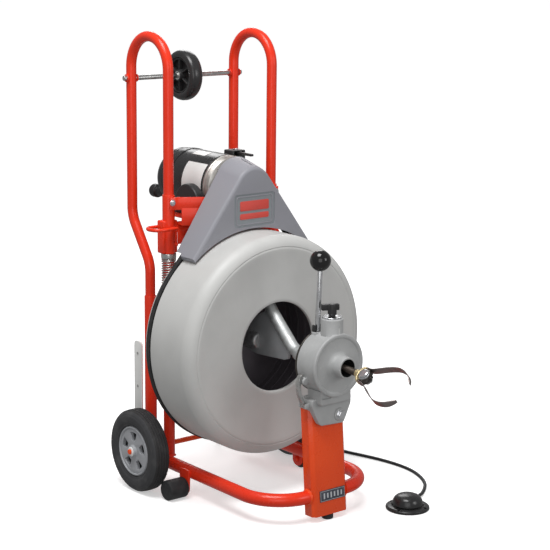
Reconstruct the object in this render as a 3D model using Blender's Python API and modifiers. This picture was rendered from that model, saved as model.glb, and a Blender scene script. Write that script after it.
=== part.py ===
"""Drum drain cleaning machine on a wheeled upright frame.

Metres, +Z up.  The origin is the centre of the front rubber foot's underside, the
front of the machine faces -Y and the two transport wheels are at the rear.
"""

import math

import bmesh
import bpy
from mathutils import Matrix, Vector

# ---------------------------------------------------------------- driving sizes
GAP = 0.0003                    # clearance kept between pieces that touch

TUBE_RADIUS = 0.0127            # handles: one inch tube
HANDLE_X = 0.1586               # the two handles stand this far from the centre plane
LEG_FRONT_Y = 0.4245
LEG_REAR_Y = 0.5815
HANDLE_TOP_Z = 1.112            # centre line of the handle's top bend
SLEEVE_Y = 0.5045               # rear leg below its S bend

BASE_Z = 0.060
BASE_RADIUS = 0.016
BASE_HALF_WIDTH = 0.162
BASE_FRONT_Y = 0.0100
BASE_REAR_Y = 0.530

COLUMN_HALF_WIDTH = 0.0535
COLUMN_DEPTH = 0.033
COLUMN_LEAN = math.radians(4.9)
COLUMN_BOTTOM_Z = 0.014
COLUMN_FRONT_Y = -0.0145
COLUMN_HEIGHT = 0.272
SHEET = 0.003

UPRIGHT_RADIUS = 0.014
UPRIGHT_TOP_Z = 0.655
REAR_SLEEVE_RADIUS = 0.015
REAR_SLEEVE_TOP_Z = 0.471

AXLE_Y = 0.4352
AXLE_Z = 0.1034
AXLE_RADIUS = 0.0064
AXLE_BORE = 0.0069
WHEEL_RADIUS = 0.103
RIM_RADIUS = 0.063
WHEEL_OUTER_X = 0.2663
WHEEL_WIDTH = 0.0515

FOOT_ROLL_RADIUS = 0.025
FOOT_ROLL_Y = 0.3285

DRUM_Z = 0.380
DRUM_RADIUS = 0.271
DRUM_FRONT_Y = 0.1895
DRUM_SPLIT_Y = 0.351
DRUM_REAR_Y = 0.385
MOUTH_RADIUS = 0.110
GROOVE_RADIUS = 0.2642
DRUM_WALL = 0.0045
INNER_DRUM_RADIUS = 0.165

BELT_Y = 0.3511
BELT_WIDTH = 0.0122
BELT_THICKNESS = 0.009
BELT_INNER_AT_DRUM = 0.2649
BELT_INNER_AT_PULLEY = 0.0270

MOTOR_Z = 0.748
MOTOR_RADIUS = 0.076
MOTOR_FRONT_Y = 0.4015
MOTOR_REAR_Y = 0.572

GUARD_FRONT_Y = 0.2875
GUARD_REAR_Y = 0.3635
GUARD_ARC_RADIUS = 0.277
GUARD_WALL = 0.003
GUARD_TOP_RADIUS = 0.0637
GUARD_TOP_Z = 0.7593
GUARD_SLOPE = 33.5              # degrees between a side wall and the vertical
GUARD_FOOT = (0.182, 0.600)
GUARD_DRAW_IN = 0.16            # share of its width, and height in metres, that the top of the
GUARD_DRAW_DOWN = 0.018         # guard loses from its rear edge to its front face

STRAP_TOP_Z = 0.731
STRAP_HEIGHT = 0.031
BLOCK_HALF = 0.019
BLOCK_LOW_Z = 0.592
SPRING_LOW_Z = 0.4335             # top of the side frame stops under the springs
SPRING_TOP_Z = 0.5795             # underside of the collars above the springs
BLOCK_HIGH_Z = 0.673
COLLAR_TOP_Z = 0.735

LOADING_AXLE_Z = 1.006
LOADING_WHEEL_RADIUS = 0.0635
LOADING_WHEEL_WIDTH = 0.037

FEED_FRONT_Y = -0.0325
FEED_REAR_Y = 0.0335
FEED_RADIUS = 0.0732
NOSE_Y = -0.0634
NOSE_RADIUS = 0.0258
BORE_RADIUS = 0.021
CABLE_RADIUS = 0.008

CUTTER_Y = -0.1245              # centre of the cutter's clamp bolt
CUTTER_Z = 0.3735
CUTTER_DROOP = math.radians(4.0)
CUTTER_TWIST = math.radians(42.0)

TOWER_Y = -0.0045               # selector tower on top of the feed housing
LEVER_PIVOT = (-0.0170, 0.0262, 0.4620)
LEVER_BALL = (-0.0120, 0.0262, 0.6200)
LATCH_PIVOT = (-0.0665, 0.0125, 0.2860)
SWITCH_PIVOT = (0.0400, 0.4180, 0.8240)
SELECTOR_TURN = math.radians(-25.0)

PEDAL = Vector((0.198, -0.0665, 0.0))
NOZZLE_WAY = Vector((0.9, 0.4359, 0.0))
HOSE_RADIUS = 0.0042
HOSE_ON_FLOOR = [(0.2900, -0.0205), (0.3100, -0.0065), (0.3290, 0.0095), (0.3480, 0.0290),
                 (0.3655, 0.0550), (0.3815, 0.0890), (0.3920, 0.1250), (0.3955, 0.1600),
                 (0.3940, 0.1960), (0.3885, 0.2340), (0.3800, 0.2710), (0.3697, 0.3055),
                 (0.3598, 0.3392), (0.3500, 0.3800), (0.3420, 0.4200), (0.3330, 0.4650),
                 (0.3215, 0.5100), (0.3070, 0.5500), (0.2940, 0.5800)]
COIL_AT = Vector((0.2420, 0.6050, 0.0))     # unseen length, in one round coil behind the drum
COIL_RADIUS = 0.0480
COIL_TURNS = 3.25
HOSE_RISE = [(0.2080, 0.6520, 0.0270), (0.1800, 0.6470, 0.0170), (0.1550, 0.6330, 0.0110),
             (0.1370, 0.6150, 0.0170), (0.1270, 0.5980, 0.0400), (0.1225, 0.5860, 0.0800),
             (0.1205, 0.5760, 0.1500), (0.1200, 0.5690, 0.2500), (0.1200, 0.5650, 0.3500),
             (0.1200, 0.5640, 0.4500), (0.1200, 0.5640, 0.5400), (0.1200, 0.5640, 0.6000)]
HOSE_END = Vector((0.1200, 0.5640, 0.6240))

# ---------------------------------------------------------------- start clean
for old in list(bpy.data.objects):
    bpy.data.objects.remove(old, do_unlink=True)

PARTS = bpy.data.collections.new("drain_machine")
CUTTERS = bpy.data.collections.new("cutters")
bpy.context.scene.collection.children.link(PARTS)
bpy.context.scene.collection.children.link(CUTTERS)


# ---------------------------------------------------------------- materials
def paint(name, colour, roughness, metallic=0.0):
    mat = bpy.data.materials.new(name)
    mat.use_nodes = True
    shader = mat.node_tree.nodes["Principled BSDF"]
    shader.inputs["Base Color"].default_value = (*colour, 1.0)
    shader.inputs["Roughness"].default_value = roughness
    shader.inputs["Metallic"].default_value = metallic
    mat.diffuse_color = (*colour, 1.0)
    return mat


RED = ((0.72, 0.045, 0.025), 0.3, 0.0)
DRUM_GREY = ((0.42, 0.42, 0.40), 0.5, 0.0)
CAST_GREY = ((0.27, 0.28, 0.28), 0.45, 0.2)
GUARD_GREY = ((0.19, 0.20, 0.22), 0.55, 0.0)
STEEL = ((0.62, 0.62, 0.62), 0.28, 1.0)
DARK_STEEL = ((0.16, 0.15, 0.16), 0.4, 1.0)
BRASS = ((0.70, 0.55, 0.30), 0.35, 1.0)
BLACK = ((0.02, 0.02, 0.022), 0.4, 0.0)
RUBBER = ((0.035, 0.035, 0.037), 0.75, 0.0)
HUB_GREY = ((0.25, 0.25, 0.26), 0.5, 0.0)
WHITE = ((0.75, 0.75, 0.74), 0.5, 0.0)


# ---------------------------------------------------------------- tools
def register(obj, name, look, collection=PARTS):
    """Name an object, give it its own material and put it in a collection."""
    obj.name = name
    obj.data.name = name
    for owner in list(obj.users_collection):
        owner.objects.unlink(obj)
    collection.objects.link(obj)
    if look is not None:
        obj.data.materials.clear()
        obj.data.materials.append(paint(name + "_finish", *look))
    if collection is CUTTERS:
        obj.hide_render = True
        obj.display_type = "WIRE"
    return obj


def apply_transform(obj):
    """Put location, rotation and scale into the mesh."""
    matrix = obj.matrix_basis.copy()
    obj.data.transform(matrix)
    if matrix.determinant() < 0:
        obj.data.flip_normals()
    obj.matrix_basis = Matrix.Identity(4)
    return obj


def box(name, low, high, look=None, collection=PARTS):
    low, high = Vector(low), Vector(high)
    bpy.ops.mesh.primitive_cube_add(size=1.0, location=(low + high) / 2)
    obj = bpy.context.object
    obj.scale = high - low
    return register(apply_transform(obj), name, look, collection)


def rod(name, start, end, radius, look=None, sides=24, collection=PARTS):
    """Solid cylinder between two points."""
    start, end = Vector(start), Vector(end)
    along = end - start
    bpy.ops.mesh.primitive_cylinder_add(vertices=sides, radius=radius, depth=along.length)
    obj = bpy.context.object
    obj.rotation_mode = "QUATERNION"
    obj.rotation_quaternion = along.to_track_quat("Z", "Y")
    obj.location = (start + end) / 2
    return register(apply_transform(obj), name, look, collection)


AXIS_TURN = {"X": (0.0, math.pi / 2, 0.0), "Y": (-math.pi / 2, 0.0, 0.0), "Z": (0.0, 0.0, 0.0)}


def turned(name, profile, look=None, axis="Z", at=(0, 0, 0), steps=32, closed=True,
           collection=PARTS):
    """Turn a (radius, height) profile that runs down its outer side from top to bottom."""
    points = [(r, 0.0, h) for r, h in profile]
    edges = [(i, i + 1) for i in range(len(points) - 1)]
    if closed:
        edges.append((len(points) - 1, 0))
    mesh = bpy.data.meshes.new(name)
    mesh.from_pydata(points, edges, [])
    obj = bpy.data.objects.new(name, mesh)
    register(obj, name, look, collection)
    obj.location = at
    obj.rotation_euler = AXIS_TURN[axis]
    screw = obj.modifiers.new("Turn", "SCREW")
    screw.axis = "Z"
    screw.steps = steps
    screw.render_steps = steps
    screw.use_merge_vertices = True
    screw.merge_threshold = 0.00001
    return obj


def arc(centre, radius, first, last, count):
    """Points of an arc in a plane, angles in degrees."""
    return [
        (
            centre[0] + radius * math.cos(math.radians(first + (last - first) * i / count)),
            centre[1] + radius * math.sin(math.radians(first + (last - first) * i / count)),
        )
        for i in range(count + 1)
    ]


def rounded_path(corners, radii, steps=6):
    """Polyline through the corners with each inner corner turned into an arc."""
    corners = [Vector(c) for c in corners]
    path = [corners[0]]
    for i in range(1, len(corners) - 1):
        here = corners[i]
        back = (corners[i - 1] - here).normalized()
        ahead = (corners[i + 1] - here).normalized()
        half = back.angle(ahead) / 2
        reach = radii[i - 1] / math.tan(half)
        centre = here + (back + ahead).normalized() * (radii[i - 1] / math.sin(half))
        first = here + back * reach - centre
        last = here + ahead * reach - centre
        sweep = first.angle(last)
        for step in range(steps + 1):
            share = step / steps
            spoke = (first * math.sin((1 - share) * sweep) + last * math.sin(share * sweep))
            path.append(centre + spoke / math.sin(sweep))
    path.append(corners[-1])
    kept = [path[0]]
    for point in path[1:]:
        if (point - kept[-1]).length > 0.0005:
            kept.append(point)
    return kept


def tube(name, points, radius, look=None, sides=12, collection=PARTS):
    """Round bar or tube along a polyline, with filled ends."""
    curve = bpy.data.curves.new(name, "CURVE")
    curve.dimensions = "3D"
    curve.bevel_depth = radius
    curve.bevel_resolution = (sides - 4) // 2
    curve.use_fill_caps = True
    spline = curve.splines.new("POLY")
    spline.points.add(len(points) - 1)
    for slot, point in zip(spline.points, points):
        slot.co = (*point, 1.0)
    obj = bpy.data.objects.new(name, curve)
    return register(obj, name, look, collection)


def plate(name, outlines, thickness, plane, at, look=None, collection=PARTS):
    """Flat outline, with any holes, extruded to its thickness.

    plane "XZ" lies across Y, "YZ" across X and "XY" across Z, and at is the plate's middle.
    """
    curve = bpy.data.curves.new(name, "CURVE")
    curve.dimensions = "2D"
    curve.fill_mode = "BOTH"
    curve.extrude = thickness / 2
    for outline in outlines:
        spline = curve.splines.new("POLY")
        spline.points.add(len(outline) - 1)
        for slot, (u, v) in zip(spline.points, outline):
            slot.co = (u, v, 0.0, 1.0)
        spline.use_cyclic_u = True
    obj = bpy.data.objects.new(name, curve)
    register(obj, name, look, collection)
    obj.rotation_euler = {
        "XZ": (math.pi / 2, 0.0, 0.0),
        "YZ": (math.pi / 2, 0.0, math.pi / 2),
        "XY": (0.0, 0.0, 0.0),
    }[plane]
    obj.location = at
    return obj


def as_mesh(obj):
    """Swap a curve, or an object with modifiers, for a plain welded mesh in the same place."""
    bpy.context.view_layer.update()
    graph = bpy.context.evaluated_depsgraph_get()
    mesh = bpy.data.meshes.new_from_object(obj.evaluated_get(graph))
    work = bmesh.new()
    work.from_mesh(mesh)
    bmesh.ops.remove_doubles(work, verts=work.verts, dist=0.00001)
    work.to_mesh(mesh)
    work.free()
    name, matrix = obj.name, obj.matrix_world.copy()
    collection = obj.users_collection[0]
    looks = [m for m in obj.data.materials]
    hidden = obj.hide_render
    bpy.data.objects.remove(obj, do_unlink=True)
    fresh = bpy.data.objects.new(name, mesh)
    collection.objects.link(fresh)
    fresh.matrix_world = matrix
    mesh.materials.clear()
    for look in looks:
        mesh.materials.append(look)
    if hidden:
        fresh.hide_render = True
        fresh.display_type = "WIRE"
    return fresh


def combine(obj, tool, operation):
    """Boolean of two meshes; the tool moves to the cutters' collection."""
    for owner in list(tool.users_collection):
        owner.objects.unlink(tool)
    CUTTERS.objects.link(tool)
    tool.hide_render = True
    tool.display_type = "WIRE"
    modifier = obj.modifiers.new(tool.name, "BOOLEAN")
    modifier.operation = operation
    modifier.object = tool
    modifier.solver = "EXACT"
    return obj


def cut(obj, tool):
    return combine(obj, tool, "DIFFERENCE")


def fuse(obj, tool):
    return combine(obj, tool, "UNION")


def soften(obj, width, segments=2, angle=40.0):
    modifier = obj.modifiers.new("Edges", "BEVEL")
    modifier.width = width
    modifier.segments = segments
    modifier.limit_method = "ANGLE"
    modifier.angle_limit = math.radians(angle)
    return obj


def ring(inner, outer, low, high):
    """Profile of a plain ring for turned()."""
    return [(outer, high), (outer, low), (inner, low), (inner, high)]


def side_name(side):
    return "left" if side < 0 else "right"


def ribbon(points, half):
    """Closed outline of a strip that follows a flat route."""
    route = [Vector((u, v)) for u, v in points]
    left, right = [], []
    for index, here in enumerate(route):
        ahead = route[min(index + 1, len(route) - 1)]
        behind = route[max(index - 1, 0)]
        run = (ahead - behind).normalized()
        normal = Vector((-run.y, run.x)) * half
        left.append(tuple(here + normal))
        right.append(tuple(here - normal))
    return left + right[::-1]


def spline_points(route, per_span):
    """Points of a smooth curve that passes through every point of a route."""
    route = [Vector(p) for p in route]
    padded = [route[0] * 2 - route[1]] + route + [route[-1] * 2 - route[-2]]
    points = []
    for a, b, c, d in zip(padded, padded[1:], padded[2:], padded[3:]):
        for step in range(per_span):
            t = step / per_span
            points.append(0.5 * ((2 * b) + (c - a) * t + (2 * a - 5 * b + 4 * c - d) * t * t
                                 + (3 * b - a - 3 * c + d) * t ** 3))
    points.append(route[-1])
    return points


def set_origin(name, place):
    """Put a finished node's origin on its joint axis without moving its shape."""
    obj = as_mesh(bpy.data.objects[name])
    place = Vector(place)
    obj.data.transform(Matrix.Translation(-place) @ obj.matrix_world)
    obj.matrix_world = Matrix.Translation(place)


# ---------------------------------------------------------------- base frame
def lean_with_column(obj):
    """Place a shape drawn upright at the column's foot onto the leaning column."""
    matrix = Matrix.Translation((0.0, COLUMN_FRONT_Y, COLUMN_BOTTOM_Z))
    lean = Matrix.Identity(4)
    lean[1][2] = math.tan(COLUMN_LEAN)
    obj.data.transform(matrix @ lean)
    return obj


def build_base_tube():
    """Bent base tube with the two plates that hold the rear feet welded on."""
    corners = [
        (-BASE_HALF_WIDTH, BASE_REAR_Y, BASE_Z), (-BASE_HALF_WIDTH, BASE_FRONT_Y, BASE_Z),
        (BASE_HALF_WIDTH, BASE_FRONT_Y, BASE_Z), (BASE_HALF_WIDTH, BASE_REAR_Y, BASE_Z),
    ]
    base = as_mesh(tube("base_tube", rounded_path(corners, [0.105, 0.105], 6), BASE_RADIUS, RED))
    outer_side = BASE_HALF_WIDTH + BASE_RADIUS
    for side in (-1, 1):
        outline = arc((0, 0), 0.0185, -160, -20, 8) + [(0.020, 0.045), (-0.020, 0.045)]
        bracket = plate(f"foot_bracket_{side_name(side)}", [outline], 0.0060, "YZ",
                        (side * (outer_side + 0.0018), FOOT_ROLL_Y, FOOT_ROLL_RADIUS))
        fuse(base, as_mesh(bracket))
        fuse(base, rod(f"foot_pin_{side_name(side)}",
                       (side * (outer_side - 0.006), FOOT_ROLL_Y, FOOT_ROLL_RADIUS),
                       (side * (outer_side + 0.036), FOOT_ROLL_Y, FOOT_ROLL_RADIUS), 0.005,
                       sides=12))


def build_column():
    half, chamfer, deep = COLUMN_HALF_WIDTH, 0.008, COLUMN_DEPTH
    outer = [(-half, deep), (-half, chamfer), (chamfer - half, 0.0),
             (half - chamfer, 0.0), (half, chamfer), (half, deep)]
    inner = [(half - SHEET, deep), (half - SHEET, chamfer + SHEET / 2),
             (half - SHEET / 2 - chamfer, SHEET), (SHEET / 2 + chamfer - half, SHEET),
             (SHEET - half, chamfer + SHEET / 2), (SHEET - half, deep)]
    column = as_mesh(plate("front_column", [outer + inner], COLUMN_HEIGHT, "XY",
                           (0, 0, COLUMN_HEIGHT / 2), RED))
    lean_with_column(apply_transform(column))
    floor = box("column_floor", (0.001 - half, 0.002, 0.0), (half - 0.001, deep, SHEET))
    fuse(column, lean_with_column(floor))
    for side in (-1, 1):
        cut(column, rod(f"tube_hole_{side_name(side)}", (side * 0.040, BASE_FRONT_Y, BASE_Z),
                        (side * 0.060, BASE_FRONT_Y, BASE_Z), BASE_RADIUS + 0.0006, sides=24))
    cut(column, rod("foot_stud_hole", (0, 0, 0.0), (0, 0, 0.03), 0.0050, sides=16))


def build_front_foot():
    profile = [(0.0, 0.024), (0.004, 0.024), (0.004, 0.0136), (0.0115, 0.0133),
               (0.014, 0.011), (0.014, 0.002), (0.012, 0.0), (0.0, 0.0)]
    turned("front_foot", profile, RUBBER, steps=20, closed=False)


def build_side_frames():
    """Front upright and rear sleeve of each side, tied by a brace, with the axle's plate."""
    foot = BASE_Z + BASE_RADIUS + GAP
    for side in (-1, 1):
        x, tag = side * HANDLE_X, side_name(side)
        frame = rod(f"side_frame_{tag}", (x, LEG_FRONT_Y, foot), (x, LEG_FRONT_Y, UPRIGHT_TOP_Z),
                    UPRIGHT_RADIUS, RED, sides=18)
        tall = REAR_SLEEVE_TOP_Z
        profile = [(REAR_SLEEVE_RADIUS, tall), (REAR_SLEEVE_RADIUS, foot), (0.0134, foot),
                   (0.0134, tall)]
        sleeve = as_mesh(turned(f"rear_sleeve_{tag}", profile, at=(x, SLEEVE_Y, 0), steps=18))
        brace = box(f"side_brace_{tag}", (x - 0.003, LEG_FRONT_Y + 0.012, 0.300),
                    (x + 0.003, SLEEVE_Y - 0.0140, 0.332))
        inner = HANDLE_X + 0.0125
        outline = [(-0.026, -0.0265), (0.026, -0.0265), (0.026, -0.010)]
        outline += arc((0, 0), 0.016, 20, 160, 8) + [(-0.026, -0.010)]
        axle_plate = plate(f"axle_plate_{tag}", [outline], 0.005, "YZ",
                           (side * (inner + 0.0025), AXLE_Y, AXLE_Z))
        fuse(frame, brace)
        fuse(frame, sleeve)
        fuse(frame, as_mesh(axle_plate))
        fuse(frame, rod(f"spring_stop_{tag}", (x, LEG_FRONT_Y, 0.4240), (x, LEG_FRONT_Y, SPRING_LOW_Z),
                        0.019, sides=16))
        cut(frame, rod(f"axle_hole_{tag}", (x - 0.03, AXLE_Y, AXLE_Z), (x + 0.03, AXLE_Y, AXLE_Z),
                       AXLE_BORE, sides=20))


def build_drum_carrier():
    """Cross member between the front uprights with the drum's bearing on it."""
    reach = HANDLE_X - UPRIGHT_RADIUS - GAP
    beam = box("drum_carrier", (-reach, 0.4125, DRUM_Z - 0.022), (reach, 0.4365, DRUM_Z + 0.022),
               RED)
    bearing = turned("drum_bearing", [(0.0, 0.4135), (0.033, 0.4135), (0.033, 0.4060),
                                      (0.022, 0.4050), (0.022, 0.3990), (0.0, 0.3990)], None,
                     "Y", (0, 0, DRUM_Z), 20, closed=False)
    fuse(beam, as_mesh(bearing))
    cut(beam, rod("carrier_hole", (0, 0.39, DRUM_Z), (0, 0.45, DRUM_Z), 0.0135, sides=20))


def build_rear_bar():
    reach = HANDLE_X - REAR_SLEEVE_RADIUS - GAP
    box("rear_bar", (-reach, SLEEVE_Y - 0.003, 0.199), (reach, SLEEVE_Y + 0.003, 0.231), RED)


def build_axle():
    """Wheel axle with the collars that keep the wheels in place."""
    axle = rod("wheel_axle", (-0.2735, AXLE_Y, AXLE_Z), (0.2735, AXLE_Y, AXLE_Z), AXLE_RADIUS,
               RED, sides=20)
    for side in (-1, 1):
        for low, high in ((0.1778, 0.2140), (0.2672, 0.2692)):
            fuse(axle, rod(f"axle_collar_{side_name(side)}_{low}", (side * low, AXLE_Y, AXLE_Z),
                           (side * high, AXLE_Y, AXLE_Z), 0.0105, sides=16))


def build_rear_feet():
    for side in (-1, 1):
        face = BASE_HALF_WIDTH + BASE_RADIUS + 0.0048 + GAP
        profile = [(0.0, 0.054), (0.023, 0.054), (0.025, 0.052), (0.025, 0.002), (0.023, 0.0),
                   (0.0054, 0.0), (0.0054, 0.036), (0.0, 0.036)]
        foot = turned(f"rear_foot_{side_name(side)}", profile, RUBBER, "X",
                      (side * face, FOOT_ROLL_Y, FOOT_ROLL_RADIUS), 24, closed=False)
        if side < 0:
            foot.rotation_euler = (0.0, -math.pi / 2, 0.0)


def build_stair_slides():
    corner, low, high, front, back = 0.008, 0.118, 0.352, 0.516, 0.549
    outline = arc((back - corner, high - corner), corner, 0, 90, 4)
    outline += arc((front + corner, high - corner), corner, 90, 180, 4)
    outline += arc((front + corner, low + corner), corner, 180, 270, 4)
    outline += arc((back - corner, low + corner), corner, 270, 360, 4)
    for side in (-1, 1):
        x = side * (HANDLE_X + REAR_SLEEVE_RADIUS + GAP + 0.0025)
        slide = plate(f"stair_slide_{side_name(side)}", [outline], 0.005, "YZ", (x, 0, 0), WHITE)
        soften(as_mesh(slide), 0.001, 1)


# ---------------------------------------------------------------- wheels
def build_wheels():
    for side in (-1, 1):
        centre = (side * (WHEEL_OUTER_X - WHEEL_WIDTH / 2), AXLE_Y, AXLE_Z)
        half, rim, tag = WHEEL_WIDTH / 2, RIM_RADIUS, side_name(side)
        tyre = [(rim, half - 0.005), (0.080, half), (0.094, half - 0.002), (0.1010, half - 0.009),
                (WHEEL_RADIUS, 0.0), (0.1010, 0.009 - half), (0.094, 0.002 - half),
                (0.080, -half), (rim, 0.005 - half)]
        turned(f"tyre_{tag}", tyre, RUBBER, "X", centre, 28)
        rim -= 0.0006
        hub = [(rim, half - 0.0075), (rim, 0.0075 - half), (0.057, 0.0075 - half), (0.055, -0.004),
               (0.020, -0.006), (0.016, -half), (AXLE_BORE, -half), (AXLE_BORE, half),
               (0.016, half), (0.020, 0.006), (0.055, 0.004), (0.057, half - 0.0075)]
        wheel = as_mesh(turned(f"wheel_hub_{tag}", hub, HUB_GREY, "X", centre, 24))
        for spoke in range(5):
            angle = math.radians(90 + 72 * spoke)
            middle = Vector(centre) + Vector((0, math.cos(angle), math.sin(angle))) * 0.038
            through = Vector((0.03, 0, 0))
            cut(wheel, rod(f"window_{tag}_{spoke}", middle - through, middle + through, 0.0105,
                           sides=8))


# ---------------------------------------------------------------- drum
def build_drum_shells():
    radius, wall, front, rear = DRUM_RADIUS, DRUM_WALL, DRUM_FRONT_Y, DRUM_REAR_Y
    bend = 0.032
    centre = (radius - bend, front + bend)
    split = DRUM_SPLIT_Y - GAP
    profile = [(GROOVE_RADIUS, split), (GROOVE_RADIUS, 0.3446), (0.2692, 0.3436),
               (radius, 0.3415)]
    profile += arc(centre, bend, 0, -90, 4)
    profile += [(0.1800, front + 0.0022), (MOUTH_RADIUS + 0.004, front + 0.0006),
                (MOUTH_RADIUS, front + 0.004), (MOUTH_RADIUS, front + 0.0075),
                (0.1800, front + 0.0022 + wall)]
    profile += arc(centre, bend - wall, -90, 0, 2)
    profile += [(radius - wall, 0.3370), (GROOVE_RADIUS - wall, 0.3420),
                (GROOVE_RADIUS - wall, split)]
    turned("drum_front_shell", profile, DRUM_GREY, "Y", (0, 0, DRUM_Z), 40)
    flange, split = 0.2665, DRUM_SPLIT_Y + GAP
    profile = [(0.042, rear), (0.235, rear), (0.255, rear - 0.004), (0.2635, rear - 0.012),
               (flange, rear - 0.018), (flange, 0.3585), (GROOVE_RADIUS, 0.3576),
               (GROOVE_RADIUS, split), (GROOVE_RADIUS - wall, split),
               (GROOVE_RADIUS - wall, rear - 0.016), (0.232, rear - wall), (0.042, rear - wall),
               (0.036, 0.3720), (0.0132, 0.3720), (0.0132, 0.3935), (0.036, 0.3935)]
    turned("drum_rear_shell", profile, DRUM_GREY, "Y", (0, 0, DRUM_Z), 40)


def build_inner_drum():
    radius = INNER_DRUM_RADIUS
    profile = [(radius + 0.0035, 0.3665), (radius + 0.0035, 0.218), (0.180, 0.2145),
               (0.180, 0.2115), (0.167, 0.2130), (radius, 0.216), (radius, 0.3630),
               (0.0132, 0.3630), (0.0132, 0.3714), (0.034, 0.3714), (0.036, 0.3665)]
    drum = as_mesh(turned("inner_drum", profile, BLACK, "Y", (0, 0, DRUM_Z), 32))
    cut(drum, box("arm_slot", (-0.024, 0.235, DRUM_Z + 0.140), (0.024, 0.350, DRUM_Z + 0.190)))


def build_guide_arm():
    """Cast arm that carries the cable from the drum's wall to the feed axis."""
    corners = [(0, 0.042, DRUM_Z), (0, 0.126, DRUM_Z), (0, 0.218, DRUM_Z + 0.084),
               (0, 0.318, DRUM_Z + 0.206)]
    arm = as_mesh(tube("guide_arm", rounded_path(corners, [0.060, 0.150], 5), 0.0150, CAST_GREY))
    outline = [(0.150, 0.008), (0.157, -0.027), (0.275, -0.047), (0.340, -0.020),
               (0.340, 0.020), (0.276, 0.062), (0.232, 0.084)]
    fuse(arm, as_mesh(plate("arm_web", [outline], 0.008, "YZ", (0, 0, DRUM_Z))))
    boss = turned("arm_boss", [(0.0, 0.3624), (0.024, 0.3624), (0.022, 0.268), (0.0, 0.268)],
                  None, "Y", (0, 0, DRUM_Z), 24, closed=False)
    fuse(arm, as_mesh(boss))
    fuse(arm, rod("arm_collar", (0, 0.085, DRUM_Z), (0, 0.118, DRUM_Z), 0.0178, sides=24))
    cut(arm, rod("arm_bore", (0, 0.030, DRUM_Z), (0, 0.108, DRUM_Z), 0.0105, sides=16))


def build_stored_cable():
    low, high, inner, outer, corner = 0.226, 0.340, 0.219, 0.2575, 0.006
    profile = [(outer - corner, high), (outer, high - corner), (outer, low + corner),
               (outer - corner, low), (inner + corner, low), (inner, low + corner),
               (inner, high - corner), (inner + corner, high)]
    turned("stored_cable", profile, DARK_STEEL, "Y", (0, 0, DRUM_Z), 28)


def build_drum_shaft():
    """Shaft that carries the drum, with its retaining nut in one piece."""
    shaft = rod("drum_shaft", (0, 0.3635, DRUM_Z), (0, 0.4550, DRUM_Z), 0.0125, STEEL, sides=24)
    fuse(shaft, rod("shaft_nut", (0, 0.4372, DRUM_Z), (0, 0.4500, DRUM_Z), 0.0215, sides=6))


# ---------------------------------------------------------------- belt and pulley
def belt_outline(offset):
    """The open belt's path round the drum and the motor pulley."""
    at_drum, at_pulley = BELT_INNER_AT_DRUM, BELT_INNER_AT_PULLEY
    wrap = math.degrees(math.acos((at_drum - at_pulley) / (MOTOR_Z - DRUM_Z)))
    points = arc((0.0, DRUM_Z), at_drum + offset, 90 + wrap, 450 - wrap, 44)
    return points + arc((0.0, MOTOR_Z), at_pulley + offset, 90 - wrap, 90 + wrap, 10)


def build_belt():
    loop = [belt_outline(BELT_THICKNESS), belt_outline(0.0)]
    plate("drive_belt", loop, BELT_WIDTH, "XZ", (0, BELT_Y, 0), RUBBER)


def build_pulley():
    """Motor pulley with the motor's shaft in one piece."""
    at = (0, 0, MOTOR_Z)
    groove, flange = BELT_INNER_AT_PULLEY - 0.0006, 0.0365
    profile = [(0.0, 0.600), (0.008, 0.600), (0.008, 0.3615), (0.034, 0.3615), (flange, 0.3600),
               (flange, 0.3585), (groove, 0.3576), (groove, 0.3446), (flange, 0.3437),
               (flange, 0.3422), (0.034, 0.3407), (0.008, 0.3407), (0.008, 0.334), (0.0, 0.334)]
    turned("motor_pulley", profile, DARK_STEEL, "Y", at, 20, closed=False)


# ---------------------------------------------------------------- carriage
def build_handles():
    for side in (-1, 1):
        x, tag = side * HANDLE_X, side_name(side)
        corners = [(x, LEG_FRONT_Y, 0.678), (x, LEG_FRONT_Y, HANDLE_TOP_Z),
                   (x, LEG_REAR_Y, HANDLE_TOP_Z), (x, LEG_REAR_Y, 0.664),
                   (x, SLEEVE_Y, 0.552), (x, SLEEVE_Y, 0.430)]
        bend = (LEG_REAR_Y - LEG_FRONT_Y) / 2 - 0.0001
        path = rounded_path(corners, [bend, bend, 0.075, 0.075], 5)
        handle = as_mesh(tube(f"handle_{tag}", path, TUBE_RADIUS, RED, sides=10))
        cut(handle, rod(f"loading_hole_{tag}", (x - 0.03, LEG_REAR_Y, LOADING_AXLE_Z),
                        (x + 0.03, LEG_REAR_Y, LOADING_AXLE_Z), AXLE_BORE, sides=16))


def build_sleeve_blocks():
    """Square sleeves that slide on the front uprights, each with a round socket on top."""
    for side in (-1, 1):
        x, half, tag = side * HANDLE_X, BLOCK_HALF, side_name(side)
        block = box(f"sleeve_block_{tag}", (x - half, LEG_FRONT_Y - half, BLOCK_LOW_Z),
                    (x + half, LEG_FRONT_Y + half, BLOCK_HIGH_Z), RED)
        soften(block, 0.004, 2)
        fuse(block, rod(f"socket_{tag}", (x, LEG_FRONT_Y, 0.660),
                        (x, LEG_FRONT_Y, COLLAR_TOP_Z), 0.015, sides=18))
        fuse(block, rod(f"spring_collar_{tag}", (x, LEG_FRONT_Y, SPRING_TOP_Z),
                        (x, LEG_FRONT_Y, BLOCK_LOW_Z + 0.001), 0.019, sides=18))
        if side < 0:
            fuse(block, build_tool_ring())
        cut(block, rod(f"upright_bore_{tag}", (x, LEG_FRONT_Y, 0.570),
                       (x, LEG_FRONT_Y, 0.662), UPRIGHT_RADIUS + 0.0008, sides=18))
        cut(block, rod(f"leg_bore_{tag}", (x, LEG_FRONT_Y, 0.6765),
                       (x, LEG_FRONT_Y, 0.745), TUBE_RADIUS + 0.0006, sides=18))


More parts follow.
